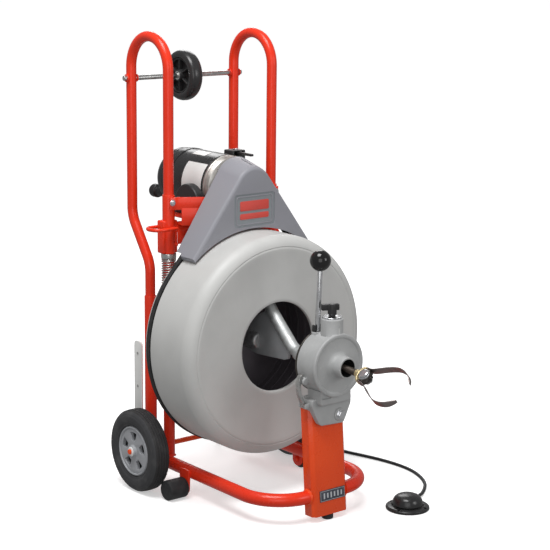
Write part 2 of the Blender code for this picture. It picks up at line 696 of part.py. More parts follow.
def build_tool_ring():
    """Hoop of round bar on the left sleeve block."""
    z, bend = 0.655, 0.0250
    front, back = LEG_FRONT_Y - BLOCK_HALF - 0.0035, LEG_FRONT_Y + BLOCK_HALF + 0.0035
    points = [(-0.1540, front), (-0.1700, front - 0.001)]
    points += arc((-0.1905, LEG_FRONT_Y - 0.0010), bend, -100, -260, 8)
    points += [(-0.1700, back + 0.001), (-0.1540, back)]
    return as_mesh(tube("tool_ring", [(u, v, z) for u, v in points], 0.0045, sides=8))


def build_springs():
    """Compression springs between the side frames' stops and the sleeve blocks."""
    wire, coil_radius, turns, per_turn = 0.0015, 0.0175, 11, 8
    low, high = SPRING_LOW_Z + wire + GAP, SPRING_TOP_Z - wire - GAP
    for side in (-1, 1):
        x = side * HANDLE_X
        coil = []
        for i in range(turns * per_turn + 1):
            angle = 2 * math.pi * i / per_turn
            coil.append((x + coil_radius * math.cos(angle),
                         LEG_FRONT_Y + coil_radius * math.sin(angle),
                         low + (high - low) * i / (turns * per_turn)))
        tube(f"spring_{side_name(side)}", coil, wire, STEEL, sides=6)


def build_motor_bracket():
    """Welded bracket between the sleeve blocks: bent straps, motor shelf and cross tube."""
    run, lap, clear = 0.3672, 0.4068, BLOCK_HALF + GAP
    route = [(-0.168, lap), (-0.150, lap), (-0.088, run), (0.088, run), (0.150, lap),
             (0.168, lap)]
    strap = as_mesh(plate("motor_bracket", [ribbon(route, 0.0019)], STRAP_HEIGHT, "XY",
                          (0, 0, STRAP_TOP_Z - STRAP_HEIGHT / 2), RED))
    route = [(-0.138, 0.3992), (-0.088, run), (0.088, run), (0.138, 0.3992)]
    fuse(strap, as_mesh(plate("shelf_lip", [ribbon(route, 0.0020)], 0.044, "XY",
                              (0, 0, 0.6830))))
    outline = [(-0.137, 0.4010), (-0.088, 0.3660), (0.088, 0.3660), (0.137, 0.4010),
               (0.138, 0.4360), (0.078, 0.4400), (0.078, 0.5680), (-0.078, 0.5680),
               (-0.078, 0.4400), (-0.138, 0.4360)]
    fuse(strap, as_mesh(plate("motor_shelf", [outline], 0.004, "XY", (0, 0, 0.6630))))
    reach = HANDLE_X - clear
    fuse(strap, rod("cross_tube", (-reach, LEG_FRONT_Y, 0.6515), (reach, LEG_FRONT_Y, 0.6515),
                    0.0108, sides=20))
    fuse(strap, box("cross_plate", (-reach + 0.001, 0.4130, 0.6130),
                    (reach - 0.001, 0.4170, 0.6520)))
    fuse(strap, box("hose_arm", (0.0700, 0.5600, 0.6500), (0.1280, 0.5680, 0.6640)))
    socket = as_mesh(rod("hose_socket", HOSE_END - Vector((0, 0, 0.0060)),
                         HOSE_END + Vector((0, 0, 0.0330)), 0.0080, sides=14))
    cut(socket, rod("hose_bore", HOSE_END - Vector((0, 0, 0.0100)),
                    HOSE_END + Vector((0, 0, 0.0070)), HOSE_RADIUS + 0.0008, sides=14))
    fuse(strap, socket)


def build_loading_wheel():
    reach = HANDLE_X + TUBE_RADIUS + 0.010
    rod("loading_axle", (-reach, LEG_REAR_Y, LOADING_AXLE_Z), (reach, LEG_REAR_Y, LOADING_AXLE_Z),
        AXLE_RADIUS, STEEL, sides=20)
    at = (0, LEG_REAR_Y, LOADING_AXLE_Z)
    half, rim, outer = LOADING_WHEEL_WIDTH / 2, 0.044, LOADING_WHEEL_RADIUS
    tyre = [(rim, half - 0.002), (0.048, half), (0.057, half), (outer - 0.001, half - 0.005),
            (outer, 0.006), (outer, -0.006), (outer - 0.001, 0.005 - half), (0.057, -half),
            (0.048, -half), (rim, 0.002 - half)]
    turned("loading_tyre", tyre, RUBBER, "X", at, 20)
    rim -= 0.0006
    hub = [(rim, half - 0.003), (rim, 0.003 - half), (0.040, 0.003 - half), (0.038, -0.004),
           (0.016, -0.004), (0.014, -half - 0.002), (AXLE_BORE, -half - 0.002),
           (AXLE_BORE, half + 0.002), (0.014, half + 0.002), (0.016, 0.004),
           (0.038, 0.004), (0.040, half - 0.003)]
    turned("loading_hub", hub, HUB_GREY, "X", at, 16)


# ---------------------------------------------------------------- motor
def build_motor():
    """Motor with its cradle, capacitor cover, air switch and switch housing."""
    at, radius = (0, 0, MOTOR_Z), MOTOR_RADIUS
    body = [(0.0, 0.6235), (0.030, 0.6235), (0.052, 0.619), (radius - 0.011, 0.607),
            (radius - 0.001, 0.590), (radius, MOTOR_REAR_Y), (radius, MOTOR_FRONT_Y + GAP),
            (0.0110, MOTOR_FRONT_Y + GAP), (0.0110, 0.604), (0.0, 0.604)]
    motor = as_mesh(turned("motor_body", body, BLACK, "Y", at, 32, closed=False))
    front = [(radius - 0.001, MOTOR_FRONT_Y), (radius - 0.001, 0.392), (radius - 0.006, 0.3815),
             (radius - 0.018, 0.3745), (0.030, 0.3725), (0.0110, 0.3725),
             (0.0110, MOTOR_FRONT_Y)]
    turned("motor_front_bell", front, STEEL, "Y", at, 32)
    fuse(motor, box("motor_base", (-0.050, 0.412, 0.6653), (0.050, 0.560, 0.7000)))
    outline = arc((0.437, 0.7060), 0.049, 0, 180, 10) + [(0.388, 0.695), (0.486, 0.695)]
    cover = as_mesh(plate("capacitor_cover", [outline], 0.048, "YZ", (-0.074, 0, 0)))
    cut(cover, rod("cover_bore", (0, 0.37, MOTOR_Z), (0, 0.4016, MOTOR_Z), radius + GAP,
                   sides=40))
    cut(cover, rod("cover_core", (0, 0.37, MOTOR_Z), (0, 0.60, MOTOR_Z), radius - 0.006,
                   sides=40))
    fuse(motor, as_mesh(cover))
    knob = rod("air_switch", (-0.040, 0.6080, 0.7070), (-0.040, 0.6615, 0.7070), 0.0170,
               sides=16)
    fuse(motor, knob)
    base = box("switch_base", (0.020, 0.4018, 0.7850), (0.060, 0.4400, 0.8315))
    cut(base, box("switch_slot", (0.0245, 0.3950, 0.8190), (0.0555, 0.4340, 0.8295)))
    fuse(motor, as_mesh(base))


def build_switch_lever():
    outline = [(0.4280, 0.8205), (0.4280, 0.8275), (0.3920, 0.8280), (0.3495, 0.8275),
               (0.3495, 0.8215), (0.3920, 0.8210)]
    plate("switch_lever", [outline], 0.0085, "YZ", SWITCH_PIVOT[:1] + (0, 0), BLACK)


# ---------------------------------------------------------------- guard
def guard_outline(inset, arc_radius, foot):
    """Half-round top, straight sides and a hollow arc that clears the drum."""
    side_x = GUARD_FOOT[0] - inset / math.cos(math.radians(GUARD_SLOPE))
    points = arc((0.0, GUARD_TOP_Z), GUARD_TOP_RADIUS - inset, GUARD_SLOPE, 180 - GUARD_SLOPE, 12)
    points += [(-side_x, GUARD_FOOT[1]), (-foot[0], foot[1])]
    reach = math.degrees(math.asin((foot[0] - 0.004) / arc_radius))
    points += arc((0.0, DRUM_Z), arc_radius, 90 + reach, 90 - reach, 12)
    return points + [foot, (side_x, GUARD_FOOT[1])]


def round_front(obj, front_y, width, segments):
    """Bevel the edge between the front face and the sides, but not along the hollow arc."""
    marked = obj.vertex_groups.new(name="front_edge")
    for vertex in obj.data.vertices:
        place = obj.matrix_world @ vertex.co
        above_arc = math.hypot(place.x, place.z - DRUM_Z) > GUARD_ARC_RADIUS + 0.005
        if abs(place.y - front_y) < 0.0005 and above_arc:
            marked.add([vertex.index], 1.0, "REPLACE")
    bevel = obj.modifiers.new("Edges", "BEVEL")
    bevel.width = width
    bevel.segments = segments
    bevel.limit_method = "VGROUP"
    bevel.vertex_group = marked.name
    return obj


def draw_in(obj):
    """Slope the guard's top and sides inwards from its rear edge to its front face."""
    for vertex in obj.data.vertices:
        place = obj.matrix_world @ vertex.co
        forward = (GUARD_REAR_Y - place.y) / (GUARD_REAR_Y - GUARD_FRONT_Y)
        upward = (math.hypot(place.x, place.z - DRUM_Z) - 0.285) / 0.158
        share = forward * min(max(upward, 0.0), 1.0)
        place.x *= 1.0 - GUARD_DRAW_IN * share
        place.z -= GUARD_DRAW_DOWN * share
        vertex.co = obj.matrix_world.inverted() @ place
    return obj


def build_guard():
    """Belt guard: a shell open to the rear and towards the drum."""
    deep, middle = GUARD_REAR_Y - GUARD_FRONT_Y, (GUARD_REAR_Y + GUARD_FRONT_Y) / 2
    outline = guard_outline(0.0, GUARD_ARC_RADIUS, (0.1775, 0.5915))
    shell = as_mesh(plate("belt_guard", [outline], deep, "XZ", (0, middle, 0), GUARD_GREY))
    shell = draw_in(as_mesh(round_front(shell, GUARD_FRONT_Y, 0.009, 2)))
    outline = guard_outline(GUARD_WALL, GUARD_ARC_RADIUS - 0.012, (0.1735, 0.5700))
    hollow = as_mesh(plate("guard_hollow", [outline], deep, "XZ", (0, middle + GUARD_WALL, 0)))
    hollow = draw_in(as_mesh(round_front(hollow, GUARD_FRONT_Y + GUARD_WALL, 0.006, 1)))
    cut(shell, hollow)
    for side in (-1, 1):
        cut(shell, box(f"belt_notch_{side_name(side)}", (side * 0.180 - 0.014, 0.3430, 0.580),
                       (side * 0.180 + 0.014, 0.3700, 0.606)))


# ---------------------------------------------------------------- feed housing
def build_feed_base():
    """Casting that caps the column and cradles the feed housing, with its clamp bolt."""
    outline = [(-0.060, 0.300), (-0.060, 0.274), (-0.049, 0.262), (-0.036, 0.240),
               (-0.028, 0.2345), (0.040, 0.2330), (0.048, 0.240), (0.057, 0.268),
               (0.060, 0.274), (0.060, 0.300)]
    casting = as_mesh(plate("feed_base", [outline], 0.050, "XZ", (0, 0.0165, 0), CAST_GREY))
    fuse(casting, box("feed_neck", (-0.046, -0.026, 0.287), (0.046, 0.0285, 0.350)))
    fuse(casting, rod("bolt_boss", (0.024, 0.0, 0.254), (0.024, -0.0125, 0.254), 0.0155,
                      sides=24))
    fuse(casting, rod("bolt_head", (0.024, -0.006, 0.254), (0.024, -0.0205, 0.254), 0.0105,
                      sides=6))
    for low, high in ((0.0005, 0.0035), (0.0215, 0.0245)):
        fuse(casting, box(f"latch_ear_{low}", (-0.0730, low, 0.2800), (-0.0580, high, 0.2920)))
    clear = box("column_clear", (-COLUMN_HALF_WIDTH - 0.0006, -0.0006, -0.05),
                (COLUMN_HALF_WIDTH + 0.0006, 0.12, COLUMN_HEIGHT + 0.0006))
    cut(casting, lean_with_column(clear))
    cut(casting, rod("housing_bowl", (0, -0.10, DRUM_Z), (0, 0.10, DRUM_Z), FEED_RADIUS + 0.0008,
                     sides=48))


def build_feed_housing():
    """Feed housing with its nose, selector tower, lever bracket and roller pins."""
    radius, front, rear = FEED_RADIUS, FEED_FRONT_Y, FEED_REAR_Y
    profile = [(radius, rear), (radius, front + 0.003), (radius - 0.003, front),
               (radius - 0.008, front), (radius - 0.010, front + 0.003), (0.036, front + 0.002),
               (0.0290, front - 0.006), (NOSE_RADIUS, front - 0.014), (NOSE_RADIUS, NOSE_Y + 0.001),
               (NOSE_RADIUS - 0.001, NOSE_Y), (BORE_RADIUS, NOSE_Y), (BORE_RADIUS, front + 0.010),
               (radius - 0.008, front + 0.012), (radius - 0.006, rear)]
    housing = as_mesh(turned("feed_housing", profile, CAST_GREY, "Y", (0, 0, DRUM_Z), 32))
    fuse(housing, rod("feed_tower", (0, TOWER_Y, DRUM_Z + 0.0675), (0, TOWER_Y, 0.4885), 0.0255,
                      sides=24))
    fuse(housing, rod("tower_cap", (0, TOWER_Y, 0.4875), (0, TOWER_Y, 0.4925), 0.0235,
                      sides=24))
    x, y, _ = LEVER_PIVOT
    fuse(housing, box("lever_pad", (x - 0.0140, y - 0.008, DRUM_Z + 0.062),
                      (x + 0.0140, 0.0333, 0.4530)))
    for side in (-1, 1):
        middle = x + side * 0.0095
        fuse(housing, box(f"lever_cheek_{side_name(side)}", (middle - 0.0025, y - 0.0055, 0.4500),
                          (middle + 0.0025, y + 0.0065, 0.4690)))
    fuse(housing, rod("latch_lug", (-0.0700, 0.0035, 0.3457), (-0.0700, 0.0215, 0.3457), 0.0080,
                      sides=16))
    for index, (px, pz) in enumerate(roller_places()):
        fuse(housing, rod(f"roller_pin_{index}", (px, front + 0.008, pz), (px, 0.0300, pz),
                          0.0050, sides=8))
    cover = [(radius + 0.0010, 0.0385), (radius + 0.0010, 0.0339), (0.0190, 0.0339),
             (0.0190, 0.0385)]
    turned("feed_rear_cover", cover, DARK_STEEL, "Y", (0, 0, DRUM_Z), 32)


def roller_places():
    """Centres of the three feed rollers round the cable."""
    return arc((0.0, DRUM_Z), 0.0232, 90, 330, 2)


def build_feed_rollers():
    for index, (x, z) in enumerate(roller_places()):
        turned(f"feed_roller_{index + 1}", ring(0.0056, 0.0140, -0.0140, 0.0140), STEEL, "Y",
               (x, 0.0060, z), 16)


def build_selector():
    knob = rod("selector_knob", (0, TOWER_Y, 0.4929), (0, TOWER_Y, 0.5225), 0.0105, BLACK,
               sides=24)
    bar = box("selector_bar", (-0.0260, -0.0065, 0.5075), (0.0160, 0.0065, 0.5220))
    bar.data.transform(Matrix.Translation((0, TOWER_Y, 0)) @ Matrix.Rotation(SELECTOR_TURN, 4, "Z"))
    fuse(knob, bar)


def build_feed_lever():
    start = Vector(LEVER_PIVOT)
    centre = Vector(LEVER_BALL)
    lean = (centre - start).normalized()
    length = (centre - start).length
    rod("feed_lever", start - lean * 0.0065, start + lean * (length - 0.0220), 0.0062, STEEL,
        sides=16)
    bpy.ops.mesh.primitive_uv_sphere_add(segments=16, ring_count=9, radius=0.0247,
                                         location=centre)
    ball = register(apply_transform(bpy.context.object), "lever_ball", BLACK)
    cut(ball, rod("ball_socket", start, start + lean * (length - 0.0215), 0.0067, sides=16))


def build_latch():
    """Hook that ties the feed housing's lug to its base."""
    route = [(-0.0665, 0.286), (-0.0770, 0.303), (-0.0835, 0.322), (-0.0850, 0.343),
             (-0.0810, 0.3560), (-0.0755, 0.3598)]
    smooth = spline_points([(u, v, 0.0) for u, v in route], 2)
    hook = as_mesh(plate("latch", [ribbon([(p.x, p.y) for p in smooth], 0.0026)], 0.012, "XZ",
                         (0, 0.0125, 0), STEEL))
    fuse(hook, rod("latch_barrel", (LATCH_PIVOT[0], 0.0045, LATCH_PIVOT[2]),
                   (LATCH_PIVOT[0], 0.0205, LATCH_PIVOT[2]), 0.0050, sides=16))


# ---------------------------------------------------------------- cable and cutter
def cutter_frame():
    """Matrix from the cutter's own axes to the machine: forward is local -Y."""
    matrix = Matrix.Translation((0.0, CUTTER_Y, CUTTER_Z))
    matrix = matrix @ Matrix.Rotation(CUTTER_DROOP, 4, "X")
    return matrix @ Matrix.Rotation(-CUTTER_TWIST, 4, "Y")


def in_cutter(obj):
    """Move a mesh drawn in the cutter's own axes to the machine."""
    apply_transform(obj)
    obj.data.transform(cutter_frame())
    return obj


def build_cable():
    """Stretch of cable from inside the guide arm through the housing to the cutter."""
    end = cutter_frame() @ Vector((0, 0.0314, 0))
    points = [(0, 0.105, DRUM_Z), (0, 0.04, DRUM_Z), (0, -0.02, DRUM_Z),
              (0, -0.062, DRUM_Z - 0.0015), end]
    tube("drain_cable", points, CABLE_RADIUS, DARK_STEEL)


def build_cutter():
    yoke = rod("cutter_yoke", (0, 0.0200, 0), (0, 0.0310, 0), 0.0092, BRASS, sides=20)
    in_cutter(yoke)
    bow = arc((0, 0), 0.0235, 26, 154, 12) + arc((0, 0), 0.0175, 154, 26, 12)
    fuse(yoke, in_cutter(as_mesh(plate("yoke_bow", [bow], 0.018, "XY", (0, 0, 0)))))
    clamp = box("cutter_clamp", (-0.0174, -0.0060, -0.0088), (0.0174, 0.0050, 0.0088), DARK_STEEL)
    in_cutter(clamp)
    fuse(clamp, in_cutter(rod("clamp_bolt", (0, 0, -0.0150), (0, 0, 0.0160), 0.0100, sides=6)))
    half_strip = [(0.0195, 0.006), (0.0195, -0.006), (0.0250, -0.020), (0.0370, -0.043),
                  (0.0465, -0.068), (0.0475, -0.085), (0.0440, -0.100), (0.0370, -0.112),
                  (0.0245, -0.125)]
    for index, side in enumerate((1, -1)):
        smooth = spline_points([(r, y, 0.0) for r, y in half_strip], 2)
        outline = [(side * u, v) for u, v in ribbon([(p.x, p.y) for p in smooth], 0.0013)]
        blade = plate(f"cutter_blade_{index + 1}", [outline], 0.019, "XY", (0, 0, 0), DARK_STEEL)
        in_cutter(as_mesh(blade))


# ---------------------------------------------------------------- pedal and hose
def build_pedal():
    x, y, _ = PEDAL
    profile = [(0.0, 0.0035), (0.0385, 0.0035), (0.0385, 0.0095), (0.0415, 0.0095),
               (0.0500, 0.0085), (0.0530, 0.0055), (0.0530, 0.0015), (0.0520, 0.0), (0.0, 0.0)]
    base = as_mesh(turned("pedal_base", profile, BLACK, at=(x, y, 0), steps=28, closed=False))
    low = PEDAL + Vector((0, 0, 0.0065))
    fuse(base, rod("hose_nozzle", low + NOZZLE_WAY * 0.0440, low + NOZZLE_WAY * 0.0700, 0.0055, sides=12))
    dome = [(0.0, 0.0370), (0.012, 0.0362), (0.024, 0.0330), (0.033, 0.0265), (0.0370, 0.0180),
            (0.0376, 0.0110), (0.0, 0.0110)]
    turned("pedal_dome", dome, BLACK, at=(x, y, 0), steps=24, closed=False)


def build_hose():
    """Air hose: pedal to coil on the floor, the coil, and the stretch that hangs from the bracket."""
    low = PEDAL + Vector((0, 0, 0.0065))
    lead = [low + NOZZLE_WAY * 0.0708, low + NOZZLE_WAY * 0.0830]
    lead += [(x, y, HOSE_RADIUS + 0.0002) for x, y in HOSE_ON_FLOOR]
    tube("air_hose", spline_points(lead, 2), HOSE_RADIUS, BLACK, sides=8)
    height = 2 * HOSE_RADIUS * (COIL_TURNS + 1) + 0.0004
    turned("hose_coil", ring(COIL_RADIUS - HOSE_RADIUS, COIL_RADIUS + HOSE_RADIUS, 0.0, height),
           BLACK, at=COIL_AT, steps=24)
    tube("hose_riser", spline_points(HOSE_RISE + [HOSE_END], 2), HOSE_RADIUS, BLACK, sides=8)


def build_name_plate():
    panel = box("column_plate", (-0.034, -0.0018, 0.034), (0.043, -GAP, 0.061), DARK_STEEL)
    lean_with_column(panel)


build_base_tube()
build_column()
build_name_plate()
build_front_foot()
build_side_frames()
build_drum_carrier()
build_rear_bar()
build_axle()
build_rear_feet()
build_stair_slides()
build_wheels()
build_drum_shells()
build_inner_drum()
build_guide_arm()
build_stored_cable()
build_drum_shaft()
build_belt()
build_pulley()
build_handles()
build_sleeve_blocks()
build_springs()
build_motor_bracket()
build_loading_wheel()
build_motor()
build_switch_lever()
build_guard()
build_feed_base()
build_feed_housing()
build_feed_rollers()
build_selector()
build_feed_lever()
build_latch()
build_cable()
build_cutter()
build_pedal()
build_hose()

bpy.context.view_layer.update()
drum_axis, rotor_axis = (0, 0.30, DRUM_Z), (0, BELT_Y, MOTOR_Z)
for node in ("guide_arm", "inner_drum", "drum_shaft", "drain_cable", "cutter_yoke",
             "cutter_clamp", "cutter_blade_1", "cutter_blade_2", "drum_front_shell",
             "drum_rear_shell", "stored_cable"):
    set_origin(node, drum_axis)
for node, place in (("motor_pulley", rotor_axis), ("feed_lever", LEVER_PIVOT),
                    ("lever_ball", LEVER_PIVOT), ("switch_lever", SWITCH_PIVOT),
                    ("selector_knob", (0, TOWER_Y, 0.4879)), ("latch", LATCH_PIVOT)):
    set_origin(node, place)
for side in (-1, 1):
    axle = (side * (WHEEL_OUTER_X - WHEEL_WIDTH / 2), AXLE_Y, AXLE_Z)
    set_origin(f"wheel_hub_{side_name(side)}", axle)
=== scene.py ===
"""Looks of the drum drain cleaning machine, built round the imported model."""

import math

import bmesh
import bpy
import numpy as np
from mathutils import Matrix, Vector


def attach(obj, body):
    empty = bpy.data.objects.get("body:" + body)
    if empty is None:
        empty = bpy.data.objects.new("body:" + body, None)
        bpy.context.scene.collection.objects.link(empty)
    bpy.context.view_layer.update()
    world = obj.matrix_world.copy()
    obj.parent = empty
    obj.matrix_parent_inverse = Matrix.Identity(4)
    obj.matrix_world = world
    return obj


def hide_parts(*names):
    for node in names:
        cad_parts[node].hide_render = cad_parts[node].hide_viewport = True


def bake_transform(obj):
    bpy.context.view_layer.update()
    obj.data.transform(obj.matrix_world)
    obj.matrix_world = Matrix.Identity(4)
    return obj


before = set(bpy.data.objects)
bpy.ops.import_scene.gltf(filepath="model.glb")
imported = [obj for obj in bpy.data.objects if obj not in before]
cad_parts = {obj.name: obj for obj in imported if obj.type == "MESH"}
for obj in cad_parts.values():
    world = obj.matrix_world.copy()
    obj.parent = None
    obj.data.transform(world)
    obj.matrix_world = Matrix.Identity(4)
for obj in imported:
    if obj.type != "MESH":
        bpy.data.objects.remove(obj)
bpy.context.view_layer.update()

# ---------------------------------------------------------------- driving sizes, in metres
HANDLE_X = 0.1586               # the two handles stand this far from the centre plane
LEG_FRONT_Y = 0.4245
LEG_REAR_Y = 0.5815
SLEEVE_Y = 0.5045
HANDLE_TOP_Z = 1.112
TUBE_RADIUS = 0.0127
LOADING_AXLE_Z = 1.006

BASE_Z = 0.06
BASE_RADIUS = 0.016
BASE_HALF_WIDTH = 0.162
BASE_FRONT_Y = 0.01
BASE_REAR_Y = 0.53

COLUMN_HALF_WIDTH = 0.0535
COLUMN_DEPTH = 0.033
COLUMN_LEAN = math.radians(4.9)
COLUMN_BOTTOM_Z = 0.014
COLUMN_FRONT_Y = -0.0145
COLUMN_HEIGHT = 0.272
SHEET = 0.003

AXLE_Y = 0.4352
AXLE_Z = 0.1034
WHEEL_RADIUS = 0.103
WHEEL_X = 0.24055               # middle of a transport wheel's width
WHEEL_HALF = 0.02575

FOOT_ROLL_Y = 0.3285
FOOT_ROLL_RADIUS = 0.025

DRUM_Z = 0.38
DRUM_RADIUS = 0.271
DRUM_FRONT_Y = 0.1895
MOUTH_RADIUS = 0.11
GROOVE_RADIUS = 0.2642
INNER_DRUM_RADIUS = 0.165

MOTOR_Z = 0.748
MOTOR_RADIUS = 0.076

GUARD_FRONT_Y = 0.2875
GUARD_REAR_Y = 0.3635
GUARD_ARC_RADIUS = 0.277
GUARD_TOP_RADIUS = 0.0637
GUARD_TOP_Z = 0.7593
GUARD_SLOPE = 33.5              # degrees between a side wall and the vertical
GUARD_FOOT = (0.182, 0.6)
GUARD_DRAW_IN = 0.16            # share of its width, and height, that the guard's top loses from its
GUARD_DRAW_DOWN = 0.018         # rear edge to its front face

FEED_FRONT_Y = -0.0325
FEED_RADIUS = 0.0732
NOSE_Y = -0.0634
NOSE_RADIUS = 0.0258
BORE_RADIUS = 0.021
TOWER_Y = -0.0045
LEVER_PIVOT = (-0.017, 0.0262, 0.462)
LEVER_BALL = (-0.012, 0.0262, 0.62)
CABLE_RADIUS = 0.008
SELECTOR_TURN = math.radians(-25.0)

CUTTER_Y = -0.1245
CUTTER_Z = 0.3735
CUTTER_DROOP = math.radians(4.0)
CUTTER_TWIST = math.radians(42.0)

PEDAL = Vector((0.198, -0.0665, 0.0))
NOZZLE_WAY = Vector((0.9, 0.4359, 0.0))
HOSE_RADIUS = 0.0042
HOSE_ON_FLOOR = [(0.29, -0.0205), (0.31, -0.0065), (0.329, 0.0095), (0.348, 0.029), (0.3655, 0.055),
    (0.3815, 0.089), (0.392, 0.125), (0.3955, 0.16), (0.394, 0.196), (0.3885, 0.234), (0.38, 0.271),
    (0.3697, 0.3055), (0.3598, 0.3392), (0.35, 0.38), (0.342, 0.42), (0.333, 0.465), (0.3215, 0.51),
    (0.307, 0.55), (0.294, 0.58)]
COIL_AT = Vector((0.242, 0.605, 0.0))
COIL_RADIUS = 0.048
COIL_TURNS = 3.25
HOSE_RISE = [(0.208, 0.652, 0.027), (0.18, 0.647, 0.017), (0.155, 0.633, 0.011), (0.137, 0.615, 0.017),
    (0.127, 0.598, 0.04), (0.1225, 0.586, 0.08), (0.1205, 0.576, 0.15), (0.12, 0.569, 0.25),
    (0.12, 0.565, 0.35), (0.12, 0.564, 0.45), (0.12, 0.564, 0.54), (0.12, 0.564, 0.6)]
HOSE_END = Vector((0.12, 0.564, 0.624))


# ---------------------------------------------------------------- camera
def make_camera():
    """Camera in front of the machine's left corner, a little above it."""
    azimuth, elevation, roll = (math.radians(v) for v in (-38.686, 11.861, 0.524))
    back = Vector((math.sin(azimuth) * math.cos(elevation), -math.cos(azimuth) * math.cos(elevation),
        math.sin(elevation)))
    level = Vector((math.cos(azimuth), math.sin(azimuth), 0.0))
    upward = back.cross(level)
    right = level * math.cos(roll) + upward * math.sin(roll)
    up = upward * math.cos(roll) - level * math.sin(roll)
    data = bpy.data.cameras.new("camera")
    data.sensor_width = 36.0
    data.lens = 106.63
    data.shift_x, data.shift_y = 0.0123, 0.0024
    data.clip_end = 200.0
    camera = bpy.data.objects.new("camera", data)
    matrix = Matrix((right, up, back)).transposed().to_4x4()
    matrix.translation = (-2.4078, -2.7738, 1.3554)
    camera.matrix_world = matrix
    bpy.context.scene.collection.objects.link(camera)
    bpy.context.scene.camera = camera


make_camera()


# ---------------------------------------------------------------- materials
def linear(*levels):
    """Linear colour of display levels from 0 to 255."""
    values = [v / 255.0 for v in levels]
    return tuple(v / 12.92 if v <= 0.04045 else ((v + 0.055) / 1.055) ** 2.4 for v in values) + (1.0,)


class Look:
    """A node material: a Principled shader fed by noise in the object's own space."""

    def __init__(self, name, colour, roughness, metallic=0.0, coat=0.0, specular=0.5):
        self.material = bpy.data.materials.new(name)
        self.material.use_nodes = True
        self.tree = self.material.node_tree
        self.shader = self.tree.nodes["Principled BSDF"]
        self.shader.inputs["Metallic"].default_value = metallic
        self.shader.inputs["Coat Weight"].default_value = coat
        self.shader.inputs["Coat Roughness"].default_value = 0.12
        self.shader.inputs["Specular IOR Level"].default_value = specular
        self.shader.inputs["Roughness"].default_value = roughness
        self.place = self.node("ShaderNodeTexCoord").outputs["Object"]
        self.colour = self.node("ShaderNodeRGB").outputs[0]
        self.colour.default_value = colour
        self.normal = None

    def node(self, kind, **values):
        made = self.tree.nodes.new(kind)
        for key, value in values.items():
            setattr(made, key, value)
        return made

    def link(self, source, target):
        self.tree.links.new(source, target)

    def noise(self, scale, detail=3.0, stretch=None):
        made = self.node("ShaderNodeTexNoise")
        made.inputs["Scale"].default_value = scale
        made.inputs["Detail"].default_value = detail
        place = self.place
        if stretch:
            mapping = self.node("ShaderNodeMapping")
            mapping.inputs["Scale"].default_value = stretch
            self.link(place, mapping.inputs["Vector"])
            place = mapping.outputs["Vector"]
        self.link(place, made.inputs["Vector"])
        return made.outputs["Fac"]

    def span(self, value, low, high, out_low=0.0, out_high=1.0):
        made = self.node("ShaderNodeMapRange")
        for key, number in (("From Min", low), ("From Max", high), ("To Min", out_low),
                ("To Max", out_high)):
            made.inputs[key].default_value = number
        self.link(value, made.inputs["Value"])
        return made.outputs["Result"]

    def tint(self, factor, colour):
        """Mix another colour over the present one by a factor from 0 to 1."""
        made = self.node("ShaderNodeMix", data_type="RGBA")
        self.link(factor, made.inputs["Factor"])
        self.link(self.colour, made.inputs["A"])
        made.inputs["B"].default_value = colour
        self.colour = made.outputs["Result"]
        return self

    def mottle(self, scale, colour, low=0.45, high=0.75, stretch=None):
        return self.tint(self.span(self.noise(scale, 4.0, stretch), low, high), colour)

    def edge_wear_and_highlight(self, colour, start, end):
        """Lighter convex edges, broken up by noise: rubbed wear, and on the red paint a painted
        highlight.
        """
        edge = self.node("ShaderNodeNewGeometry").outputs["Pointiness"]
        product = self.node("ShaderNodeMath", operation="MULTIPLY")
        self.link(self.span(edge, start, end), product.inputs[0])
        self.link(self.span(self.noise(60.0), 0.42, 0.62), product.inputs[1])
        return self.tint(product.outputs[0], colour)

    def bump(self, scale, strength, distance, stretch=None):
        made = self.node("ShaderNodeBump")
        made.inputs["Strength"].default_value = strength
        made.inputs["Distance"].default_value = distance
        self.link(self.noise(scale, 3.0, stretch), made.inputs["Height"])
        if self.normal:
            self.link(self.normal, made.inputs["Normal"])
        self.normal = made.outputs["Normal"]
        return self

    def rough(self, scale, low, high):
        value = self.span(self.noise(scale, 4.0), 0.3, 0.7, low, high)
        self.link(value, self.shader.inputs["Roughness"])
        return self

    def done(self):
        self.link(self.colour, self.shader.inputs["Base Color"])
        if self.normal:
            self.link(self.normal, self.shader.inputs["Normal"])
        return self.material


def paint(name, colour, deep):
    look = Look(name, colour, 0.3, coat=0.1, specular=0.35)
    look.mottle(9.0, deep, 0.4, 0.95).rough(30.0, 0.22, 0.34)
    # painted highlight: pale orange along the red paint's convex edges and bends
    look.edge_wear_and_highlight(linear(250, 150, 110), 0.62, 0.74)
    return look.bump(260.0, 0.1, 0.0004).done()


def cast_metal(name, colour, dark, light):
    look = Look(name, colour, 0.5, metallic=0.05, specular=0.4)
    look.mottle(26.0, dark, 0.45, 0.9).mottle(160.0, light, 0.6, 0.85)
    look.edge_wear_and_highlight(linear(214, 214, 212), 0.55, 0.64).rough(50.0, 0.46, 0.6)
    return look.bump(420.0, 0.35, 0.0004).bump(90.0, 0.12, 0.0008).done()


def plastic(name, colour, shade, roughness, grain=700.0, strength=0.12):
    look = Look(name, colour, roughness)
    look.mottle(14.0, shade, 0.42, 0.9).rough(40.0, roughness - 0.05, roughness + 0.08)
    return look.bump(grain, strength, 0.0003).done()


def bright_metal(name, colour, shade, roughness, stretch=(1.0, 1.0, 1.0)):
    look = Look(name, colour, roughness, metallic=1.0)
    look.mottle(70.0, shade, 0.45, 0.8, stretch).rough(90.0, roughness - 0.06, roughness + 0.12)
    return look.bump(500.0, 0.1, 0.0002, stretch=stretch).done()


def rubber(name, colour, worn, roughness):
    look = Look(name, colour, roughness, specular=0.35)
    look.mottle(35.0, worn, 0.48, 0.85).edge_wear_and_highlight(worn, 0.52, 0.6)
    look.rough(60.0, roughness - 0.08, roughness + 0.1)
    return look.bump(900.0, 0.25, 0.0003).bump(120.0, 0.1, 0.0005).done()


